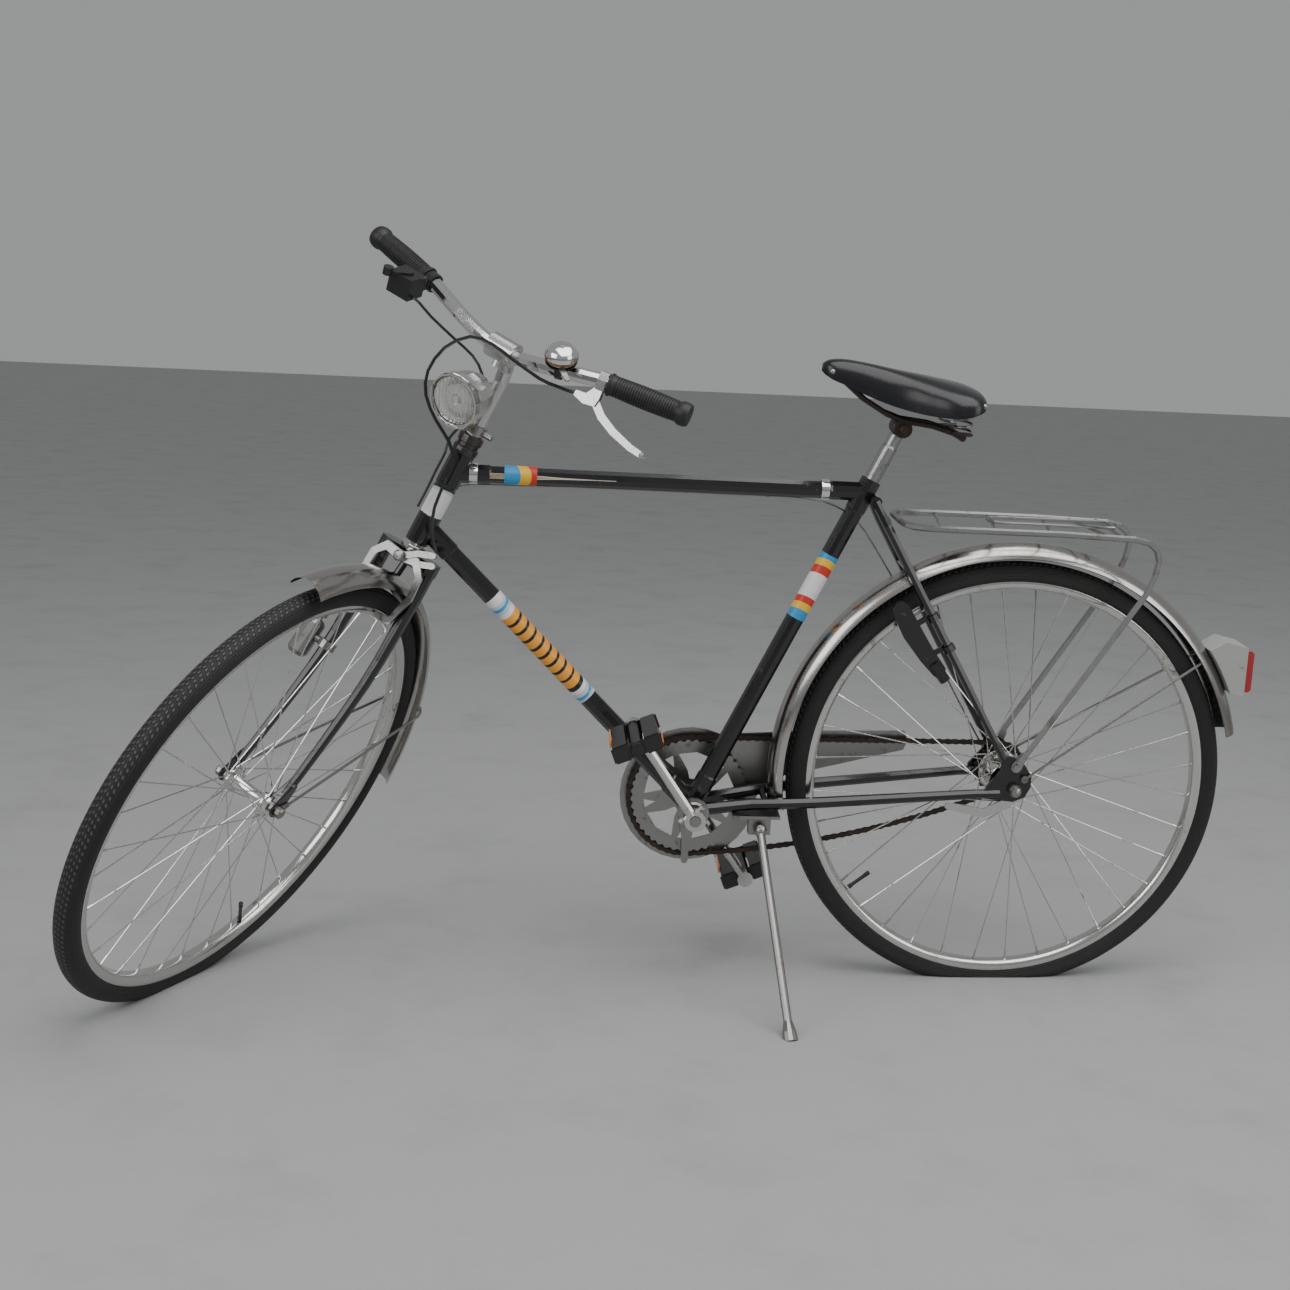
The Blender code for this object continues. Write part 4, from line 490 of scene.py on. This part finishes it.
def wheel(prefix, centre, side, flange_y, flange_r, shell_r, hub_half, hole_r, axle_r):
    place = along(centre, side)
    body = prefix + "_wheel"
    clear_selection()
    bpy.ops.mesh.primitive_torus_add(major_radius=TYRE_RING, minor_radius=TYRE_R,
                                     major_segments=160, minor_segments=24,
                                     rotation=(math.pi / 2, 0, 0))
    tyre = bpy.context.object
    tyre.name = prefix + "_tyre_skin"
    bpy.ops.object.transform_apply(location=True, rotation=True, scale=True)
    settle_in_place(tyre, place)
    for vertex in tyre.data.vertices:
        if vertex.co.z < 0.0:
            vertex.co.z = 0.0
    smooth(tyre, 60)
    rubber = tread_rubber(prefix + " tyre rubber", centre, side)
    done(tyre, rubber, body, "tyre_rubber", prefix + "_tyre")

    rim = spun(prefix + "_rim_shell", [
        (0.3175, -0.0124), (0.3168, -0.0112), (0.3125, -0.0104), (0.3110, -0.0060),
        (0.3110, 0.0060), (0.3125, 0.0104), (0.3168, 0.0112), (0.3175, 0.0124),
        (0.3165, 0.0130), (0.3120, 0.0127), (0.3085, 0.0117), (0.3048, 0.0090),
        (0.3032, 0.0056), (0.3025, 0.0), (0.3032, -0.0056), (0.3048, -0.0090),
        (0.3085, -0.0117), (0.3120, -0.0127), (0.3165, -0.0130)],
        steps=120, place=place, closed=True)
    done(rim, CHROME, body, "chrome", prefix + "_rim")

    half = [(shell_r, 0.0), (shell_r, flange_y - 0.008), (shell_r + 0.002, flange_y - 0.0035),
            (flange_r - 0.001, flange_y - 0.0022), (flange_r, flange_y - 0.0010),
            (flange_r, flange_y + 0.0010), (flange_r - 0.001, flange_y + 0.0022),
            (0.0145, flange_y + 0.0028), (0.0138, hub_half - 0.001), (0.0128, hub_half),
            (axle_r, hub_half)]
    profile = [(r, -y) for r, y in half[:0:-1]] + half
    hub = spun(prefix + "_hub_shell", profile, steps=48, place=place)
    paths = []
    for k in range(SPOKES):
        hand = 1 if k % 2 else -1
        row = (k // 2) % 2
        rim_angle = 2 * math.pi * (k + 0.5) / SPOKES
        hub_angle = rim_angle + math.radians(60) * (1 if row else -1)
        hub_y = hand * (flange_y + (0.0030 if row else -0.0030))
        start = Vector((hole_r * math.cos(hub_angle), hub_y, hole_r * math.sin(hub_angle)))
        end_y = hand * (0.0022 if row else 0.0006)
        end = Vector((SPOKE_END * math.cos(rim_angle), end_y, SPOKE_END * math.sin(rim_angle)))
        neck = end.lerp(start, 0.014 / (end - start).length)
        paths.append([start, neck, neck.lerp(end, 0.02), end])
    spokes = wires(prefix + "_spokes", paths, 0.00100, place, resolution=1,
                   thick=[1.0, 1.0, 1.9, 1.9])
    done(hub, BRIGHT if prefix == "front" else CHROME, body, "chrome", prefix + "_hub")
    done(spokes, CHROME, body, "chrome")
    ray = math.radians(218)
    stem = place @ Vector((0.300 * math.cos(ray), 0, 0.300 * math.sin(ray)))
    down = (Vector(centre) - stem).normalized()
    valve = spun(prefix + "_valve", [
        (0.0, 0.0), (0.0036, 0.0), (0.0036, 0.006), (0.0028, 0.007), (0.0028, 0.030),
        (0.0034, 0.031), (0.0034, 0.040), (0.0, 0.041)], steps=16, place=along(stem, down))
    done(valve, SHEATH, body, "tyre_rubber")


wheel("front", FRONT, FRONT_SIDE, 0.033, 0.0210, 0.0095, 0.040, 0.0185, 0.0053)
wheel("rear", REAR, SIDE, 0.0305, 0.0340, 0.0260, 0.045, 0.0310, 0.0056)


# ---------------------------------------------------------------- fenders

def fender(name, place, start, end, body, node):
    """Sheet guard with a low rib along its crown and edges turned in."""
    profile = []
    for k in range(15):
        bend = math.radians(70) * (k - 7) / 7
        rise = FENDER_R * math.cos(bend)
        if abs(k - 7) <= 1:
            rise += 0.0006
        profile.append((FENDER_RING + rise, FENDER_R * math.sin(bend)))
    profile = [(profile[0][0] - 0.0010, profile[0][1] * 0.93)] + profile
    profile = profile + [(profile[-1][0] - 0.0010, profile[-1][1] * 0.93)]
    steps = max(24, int(abs(end - start) / 1.6))
    obj = spun(name, profile, steps=steps, sweep=end - start, start=start, place=place, wall=0.0010)
    return done(obj, STAINLESS, body, "chrome", node)


fender("rear_fender_sheet", BIKE, 13.4, 188.7, "frame", "rear_fender")
front_axle_local = BIKE.inverted() @ (TURN.inverted() @ FRONT)
fender("front_fender_sheet", STEERED @ Matrix.Translation(front_axle_local), -26.0, 86.5, "fork",
       "front_fender")


# ---------------------------------------------------------------- chain

def chain_line():
    """Pin line of the chain: round the chainring, a sagging lower run, round the sprocket."""
    big = RING_R + ROLLER_LIFT
    small = SPROCKET_R + ROLLER_LIFT
    slope = math.asin((big - small) / BB.length)
    line = math.atan2(-BB.z, -BB.x)
    upper = line + math.pi / 2 - slope
    lower = line - math.pi / 2 + slope * 0.2
    points = []
    for i in range(41):
        angle = upper + (2 * math.pi - (upper - lower)) * i / 40
        points.append(Vector((BB.x + big * math.cos(angle), CHAIN_Y,
                              BB.z + big * math.sin(angle))))
    start = points[-1]
    angle = line - math.pi / 2 - 0.28
    end = Vector((small * math.cos(angle), CHAIN_Y, small * math.sin(angle)))
    for i in range(1, 24):
        t = i / 24
        points.append(start.lerp(end, t) - Vector((0, 0, 0.020 * 4 * t * (1 - t))))
    for i in range(21):
        turn = angle + (upper - angle) * i / 20
        points.append(Vector((small * math.cos(turn), CHAIN_Y, small * math.sin(turn))))
    return points


def link(name, inner):
    """One pair of side plates with waisted outline, and its rollers."""
    outline = []
    for centre, way in ((PITCH / 2, 0), (-PITCH / 2, math.pi)):
        for k in range(5):
            angle = way - math.pi / 2 + math.pi * k / 4
            outline.append((centre + 0.0039 * math.cos(angle), 0.0039 * math.sin(angle)))
        outline.append((0.0, 0.0026 if way == 0 else -0.0026))
    gap = 0.0018 if inner else 0.0026
    mesh = bpy.data.meshes.new(name)
    verts = []
    faces = []
    count = len(outline)
    for low in (-gap - 0.0008, gap):
        base = len(verts)
        verts += [(x, low, z) for x, z in outline] + [(x, low + 0.0008, z) for x, z in outline]
        faces.append(tuple(base + i for i in range(count)))
        faces.append(tuple(base + count + i for i in reversed(range(count))))
        for i in range(count):
            j = (i + 1) % count
            faces.append((base + i, base + count + i, base + count + j, base + j))
    for centre in (PITCH / 2, -PITCH / 2) if inner else ():
        base = len(verts)
        ring = [(centre + 0.0033 * math.cos(math.pi * k / 4), 0.0033 * math.sin(math.pi * k / 4))
                for k in range(8)]
        verts += [(x, -gap, z) for x, z in ring] + [(x, gap, z) for x, z in ring]
        for i in range(8):
            j = (i + 1) % 8
            faces.append((base + i, base + 8 + i, base + 8 + j, base + j))
    mesh.from_pydata(verts, [], faces)
    obj = bpy.data.objects.new(name, mesh)
    scene.collection.objects.link(obj)
    return obj


line = chain_line()
spans = [(b - a).length for a, b in zip(line, line[1:] + line[:1])]
total = sum(spans)
count = 2 * round(total / (2 * PITCH))
pins = []
for k in range(count):
    want = total * k / count
    i = 0
    while i < len(spans) - 1 and want > spans[i]:
        want -= spans[i]
        i += 1
    pins.append(line[i].lerp((line + line[:1])[i + 1], want / spans[i]))
links = []
for k in range(count):
    a = pins[k]
    b = pins[(k + 1) % count]
    piece = link("link", k % 2 == 0)
    run = (b - a).normalized()
    turn = Matrix((run, Vector((0, 1, 0)), run.cross(Vector((0, 1, 0))))).transposed().to_4x4()
    turn.translation = (a + b) / 2
    piece.matrix_world = turn
    links.append(piece)
bpy.context.view_layer.update()
for piece in links:
    piece.data.transform(BIKE @ piece.matrix_world)
    piece.matrix_world = Matrix.Identity(4)
chain = joined("chain_links", links)
pick(chain)
bpy.ops.object.mode_set(mode="EDIT")
bpy.ops.mesh.select_all(action="SELECT")
bpy.ops.mesh.normals_make_consistent(inside=False)
bpy.ops.object.mode_set(mode="OBJECT")
done(chain, RUST, "frame", "rusty_steel", "chain")


# ---------------------------------------------------------------- saddle

# Each row from nose to tail: distance along, half width, top and lower edge.
SADDLE_ROWS = [
    (-0.335, 0.008, 0.6365, 0.6240), (-0.324, 0.0185, 0.6430, 0.6150),
    (-0.300, 0.0240, 0.6450, 0.6060), (-0.260, 0.0300, 0.6405, 0.5900),
    (-0.220, 0.0430, 0.6340, 0.5785), (-0.180, 0.0650, 0.6280, 0.5725),
    (-0.145, 0.0830, 0.6220, 0.5720), (-0.118, 0.0860, 0.6165, 0.5770),
    (-0.101, 0.0760, 0.6100, 0.5840), (-0.094, 0.0560, 0.6030, 0.5900)]


def eased(rows, t):
    """Value on a smooth curve through the rows, t from 0 to 1."""
    at = t * (len(rows) - 1)
    i = min(int(at), len(rows) - 2)
    f = at - i
    picks = [rows[max(0, min(len(rows) - 1, k))] for k in (i - 1, i, i + 1, i + 2)]
    out = []
    for a, b, c, d in zip(*picks):
        out.append(0.5 * (2 * b + (c - a) * f + (2 * a - 5 * b + 4 * c - d) * f * f
                          + (3 * b - a - 3 * c + d) * f ** 3))
    return out


def saddle():
    """Padded top that rolls over into deep side skirts, with a turned-in lower edge."""
    verts = []
    faces = []
    around = 44
    steps = 60
    for i in range(steps + 1):
        x, half, top, edge = eased(SADDLE_ROWS, i / steps)
        for k in range(around):
            if k < 31:
                angle = math.pi * k / 30
                lift = max(0.0, math.sin(angle)) ** 0.62
                dip = (0.0022 * math.exp(-(math.cos(angle) * 3.2) ** 2)
                       * math.sin(math.pi * i / steps))
                verts.append((x, half * math.cos(angle), edge + (top - edge) * lift - dip))
            else:
                way = -1 + 2 * (k - 30) / 14
                rise = 0.0025 + 0.36 * (top - edge) * (1 - way * way)
                verts.append((x, 0.93 * half * way, edge + rise))
    for i in range(steps):
        for k in range(around):
            j = (k + 1) % around
            a = i * around
            faces.append((a + k, a + j, a + around + j, a + around + k))
    faces.append(tuple(reversed(range(around))))
    faces.append(tuple(steps * around + k for k in range(around)))
    mesh = bpy.data.meshes.new("saddle_skin")
    mesh.from_pydata(verts, [], faces)
    obj = bpy.data.objects.new("saddle_skin", mesh)
    scene.collection.objects.link(obj)
    settle_in_place(obj, BIKE)
    pick(obj)
    bpy.ops.object.mode_set(mode="EDIT")
    bpy.ops.mesh.select_all(action="SELECT")
    bpy.ops.mesh.normals_make_consistent(inside=False)
    bpy.ops.object.mode_set(mode="OBJECT")
    smooth(obj, 60)
    done(obj, VINYL, "saddle", "saddle_vinyl", "saddle_cover")
    studs = []
    for at, down in ((0.12, 0.40), (0.88, 0.30)):
        x, half, top, edge = eased(SADDLE_ROWS, at)
        for hand in (-1, 1):
            spot = Vector((x, hand * half * 0.985, edge + (top - edge) * down))
            studs.append(spun("stud", [(0.0, 0.0022), (0.0022, 0.0019), (0.0036, 0.0008),
                                       (0.0040, -0.0010)],
                              steps=20, place=BIKE @ along(spot, (0, hand, 0.12))))
    done(joined("saddle_rivets", studs), STEEL, "saddle", "dull_steel")


saddle()
for hand in (-1, 1):
    turns = []
    for i in range(121):
        t = i / 120
        angle = 2 * math.pi * 3.25 * t
        turns.append((-0.126 + 0.0135 * math.cos(angle), hand * (0.050 - 0.0135 * math.sin(angle)),
                      0.5500 + 0.0375 * t))
    side_name = "left" if hand < 0 else "right"
    spring = wires("spring_coil_" + side_name, [turns], 0.0019, BIKE)
    done(spring, STEEL, "saddle", "dull_steel", "saddle_spring_" + side_name)


# ---------------------------------------------------------------- grips

def grip(side_name, hand):
    knee = Vector((-0.808, hand * 0.150, 0.668))
    end = Vector((-0.781, hand * 0.283, 0.675))
    ahead = (end - knee).normalized()
    origin = knee + ahead * 0.0175
    profile = [(0.0112, 0.0), (0.0158, 0.0), (0.0172, 0.0015), (0.0172, 0.0035), (0.0158, 0.0050)]
    x = 0.010
    while x < 0.104:
        swell = 0.0153 + 0.0011 * math.sin(math.pi * (x - 0.010) / 0.095)
        profile += [(swell, x), (swell, x + 0.0021), (swell - 0.0009, x + 0.0026),
                    (swell - 0.0009, x + 0.0034)]
        x += 0.0040
    profile += [(0.0158, 0.108), (0.0178, 0.112), (0.0178, 0.119), (0.0160, 0.1245), (0.0, 0.1262)]
    obj = spun("grip_sleeve_" + side_name, profile, steps=48, place=STEERED @ along(origin, ahead))
    done(obj, RUBBER, "fork", "grip_rubber", "grip_" + side_name)


grip("left", -1)
grip("right", 1)


# ---------------------------------------------------------------- transfers on the tubes

def sleeve(name, start, end, radius, mat, twist=0.0, steps=64):
    """Thin printed band round a tube; U runs along it, with a slant around the tube."""
    clear_selection()
    reach = end - start
    bpy.ops.mesh.primitive_cylinder_add(vertices=steps, radius=radius, depth=reach.length,
                                        end_fill_type="NOTHING")
    obj = bpy.context.object
    obj.name = name
    bpy.ops.object.mode_set(mode="EDIT")
    bpy.ops.mesh.select_all(action="SELECT")
    bpy.ops.mesh.subdivide(number_cuts=3)
    bpy.ops.object.mode_set(mode="OBJECT")
    layer = obj.data.uv_layers.active or obj.data.uv_layers.new(name="band")
    for loop in obj.data.loops:
        co = obj.data.vertices[loop.vertex_index].co
        angle = math.atan2(co.y, co.x)
        layer.data[loop.index].uv = (0.5 + co.z / reach.length + twist * math.sin(angle), angle)
    direction = reach.normalized()
    x = Vector((0, 1, 0)).cross(direction).normalized()
    turn = Matrix((x, direction.cross(x), direction)).transposed().to_4x4()
    turn.translation = (start + end) / 2
    settle_in_place(obj, BIKE @ turn)
    smooth(obj, 60)
    return done(obj, mat, "frame", "black_paint")


BLUE = (0.03, 0.27, 0.55)
YELLOW = (0.80, 0.48, 0.03)
SCARLET = (0.55, 0.035, 0.02)
WHITE = (0.70, 0.71, 0.70)
INK = (0.010, 0.010, 0.011)
SILVER = (0.48, 0.53, 0.58)
ORANGE = (0.80, 0.33, 0.03)
seat_band = banded("seat tube transfer", [
    (0.0, BLUE), (0.10, YELLOW), (0.20, SCARLET), (0.30, WHITE), (0.66, SCARLET), (0.78, YELLOW),
    (0.88, BLUE)])
sleeve("seat_tube_transfer", BB + UP * 0.335, BB + UP * 0.445, 0.01475, seat_band, twist=0.05)
top_band = banded("top tube transfer", [(0.0, BLUE), (0.34, YELLOW), (0.67, SCARLET)])
top_at = HEAD_MID + Vector((0.075, 0, 0))
sleeve("top_tube_transfer", top_at, top_at + Vector((0.048, 0, 0)), 0.01425, top_band, twist=0.16)
head_band = banded("head tube transfer", [(0.0, INK), (0.08, SILVER), (0.16, WHITE), (0.84, SILVER),
                                          (0.92, INK)])
down_from = HEAD_MID - UP * 0.090
down_run = (BB - down_from)
sleeve("head_tube_transfer", HEAD_MID - UP * 0.086, HEAD_MID - UP * 0.026, 0.01675, head_band,
       twist=0.10)
bars = [(0.0, WHITE), (0.035, SILVER), (0.06, BLUE), (0.085, SILVER), (0.11, WHITE)]
for k in range(9):
    bars += [(0.145 + 0.079 * k, ORANGE), (0.145 + 0.079 * k + 0.056, INK)]
bars += [(0.87, WHITE), (0.90, SILVER), (0.93, BLUE), (0.955, SILVER), (0.98, WHITE)]
down_band = banded("down tube transfer", bars)
sleeve("down_tube_transfer", down_from + down_run * 0.245, down_from + down_run * 0.60, 0.01475,
       down_band, twist=0.03)
PINSTRIPE_R = 0.01352
pins = []
for k in (-2, -1, 0, 1, 2):
    tilt = k * 0.13
    first = top_at + Vector((-0.030, 0, 0))
    reach = 0.195 - 0.030 * abs(k)
    path = []
    for i in range(9):
        t = i / 8
        bend = tilt * (1 - max(0.0, t - 0.4) / 0.6)
        path.append(first + Vector((reach * t, -PINSTRIPE_R * math.cos(bend),
                                    PINSTRIPE_R * math.sin(bend))))
    pins.append(path)
gold = banded("pinstripe", [(0.0, (0.62, 0.52, 0.34)), (0.5, (0.66, 0.60, 0.48))])
done(wires("top_tube_pinstripes", pins, 0.00045, BIKE), gold, "frame", "black_paint")
for offset in (0.030, 0.555):
    at = HEAD_MID + Vector((offset, 0, 0))
    strap = spun("cable_band_%d" % round(offset * 1000), [
        (0.0138, -0.0060), (0.0152, -0.0060), (0.0156, -0.0040), (0.0156, 0.0040), (0.0152, 0.0060),
        (0.0138, 0.0060)], steps=40, place=BIKE @ along(at, (1, 0, 0)), closed=True)
    done(strap, BRIGHT, "frame", "chrome")


# ---------------------------------------------------------------- head lamp and bell

def turned_seat(node, axis):
    """Placement on a round piece's own axis, at its lowest end along that axis, and its length."""
    axis = axis.normalized()
    points = [vertex.co for vertex in nodes[node].data.vertices]
    centre = sum(points, Vector()) / len(points)
    reach = [(point - centre).dot(axis) for point in points]
    return along(centre + axis * min(reach), axis), max(reach) - min(reach)


lamp_way = (STEERED.to_3x3() @ Vector((-1, 0, 0))).normalized()
seat, deep = turned_seat("headlamp_lens", lamp_way)
dish = spun("lamp_dish", [
    (0.0, 0.0006), (0.006, 0.0004), (0.007, 0.0030), (0.0085, 0.0004), (0.020, 0.0008),
    (0.030, 0.0016), (0.0372, 0.0028)], steps=72, place=seat)
done(dish, MIRROR, "headlamp", "chrome")
cover = spun("lamp_glass", [
    (0.0, 0.0086), (0.010, 0.0084), (0.020, 0.0078), (0.030, 0.0064), (0.0365, 0.0040),
    (0.0378, 0.0024), (0.0366, 0.0022), (0.029, 0.0050), (0.019, 0.0066), (0.0, 0.0073)],
    steps=72, place=seat)
done(cover, GLASS, "headlamp", "clear_glass", "headlamp_lens")
bezel = spun("lamp_bezel", [(0.0372, 0.0050), (0.0388, 0.0056), (0.0402, 0.0046), (0.0404, 0.0010),
                            (0.0400, -0.0060), (0.0392, -0.0062), (0.0384, 0.0010)],
             steps=72, place=seat, closed=True)
done(bezel, BRIGHT, "headlamp", "chrome")

bell_way = (STEERED.to_3x3() @ Vector((-0.30, 0, 0.954))).normalized()
seat, deep = turned_seat("bell_dome", bell_way)
wide = 0.0232
dome = spun("bell_cap", [
    (wide - 0.0010, 0.0), (wide, 0.0006), (wide, deep * 0.30), (wide * 0.985, deep * 0.36),
    (wide * 0.93, deep * 0.52), (wide * 0.82, deep * 0.70), (wide * 0.62, deep * 0.86),
    (wide * 0.34, deep * 0.95), (wide * 0.16, deep * 0.97), (wide * 0.15, deep),
    (0.0, deep)], steps=64, place=seat)
done(dome, BRIGHT, "fork", "chrome", "bell_dome")
band = spun("bell_band", [
    (wide + 0.0001, 0.0012), (wide + 0.0007, 0.0018), (wide + 0.0007, deep * 0.26),
    (wide + 0.0001, deep * 0.30)], steps=64, place=seat)
done(band, BRONZE, "fork", "chrome")


# ---------------------------------------------------------------- pedal reflectors

for side_name, hand in (("left", -1), ("right", 1)):
    low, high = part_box("pedal_" + side_name)
    middle = (low + high) / 2
    reflectors = []
    for way in (-1, 1):
        place = BIKE.copy()
        place.translation = middle + AHEAD.normalized() * (way * 0.0377)
        reflectors.append(block("reflector", (0.0022, 0.052, 0.0125), place))
    obj = joined("pedal_reflectors_" + side_name, reflectors)
    done(obj, AMBER, "pedal_" + side_name, "red_lens")


# ---------------------------------------------------------------- room, light and camera

def plane(name, size, location, rotation, mat):
    clear_selection()
    bpy.ops.mesh.primitive_plane_add(size=size, location=location, rotation=rotation)
    obj = bpy.context.object
    obj.name = name
    obj.data.materials.append(mat)
    return obj


floor_mat = surface("pale floor", (0.40, 0.405, 0.40), (0.33, 0.335, 0.33), 0.62, 0.75, size=5.0,
                    amount=0.5, soft=0.3, grain=240.0, depth=0.5, dirt=(0.33, 0.33, 0.325))
plane("floor", 40.0, (0, 0, -0.0002), (0, 0, 0), floor_mat)


def lamp(name, location, target, size, power, colour=(1, 1, 1)):
    data = bpy.data.lights.new(name, "AREA")
    data.size = size
    data.energy = power
    data.color = colour
    obj = bpy.data.objects.new(name, data)
    scene.collection.objects.link(obj)
    obj.location = location
    aim = Vector(target) - Vector(location)
    obj.rotation_euler = aim.to_track_quat("-Z", "Y").to_euler()


lamp("overhead", (0.2, -1.2, 3.4), (-0.4, 0.1, 0.3), 3.2, 95)
lamp("left_window", (-3.2, -2.2, 2.2), (-0.4, 0, 0.5), 2.2, 45)
lamp("right_fill", (2.8, -2.6, 1.8), (-0.3, 0, 0.5), 2.2, 32)
world = bpy.data.worlds.new("studio")
world.use_nodes = True
world.node_tree.nodes["Background"].inputs["Color"].default_value = (0.80, 0.81, 0.82, 1)
world.node_tree.nodes["Background"].inputs["Strength"].default_value = 0.42
scene.world = world

turn = (Matrix.Rotation(-0.12626, 4, "Z") @ Matrix.Rotation(-0.08992, 4, "X")
        @ Matrix.Rotation(-0.04930, 4, "Y"))
right = turn.col[0].to_3d()
forward = turn.col[1].to_3d()
upward = turn.col[2].to_3d()
lens = bpy.data.cameras.new("view")
lens.sensor_width = 36.0
lens.lens = 1799.4 / 1290 * 36.0
lens.shift_x = -0.0816
lens.shift_y = -0.1324
camera = bpy.data.objects.new("view", lens)
scene.collection.objects.link(camera)
pose = Matrix((right, upward, -forward)).transposed().to_4x4()
pose.translation = Vector((-0.7686, -2.7261, 1.0358))
camera.matrix_world = pose
scene.camera = camera
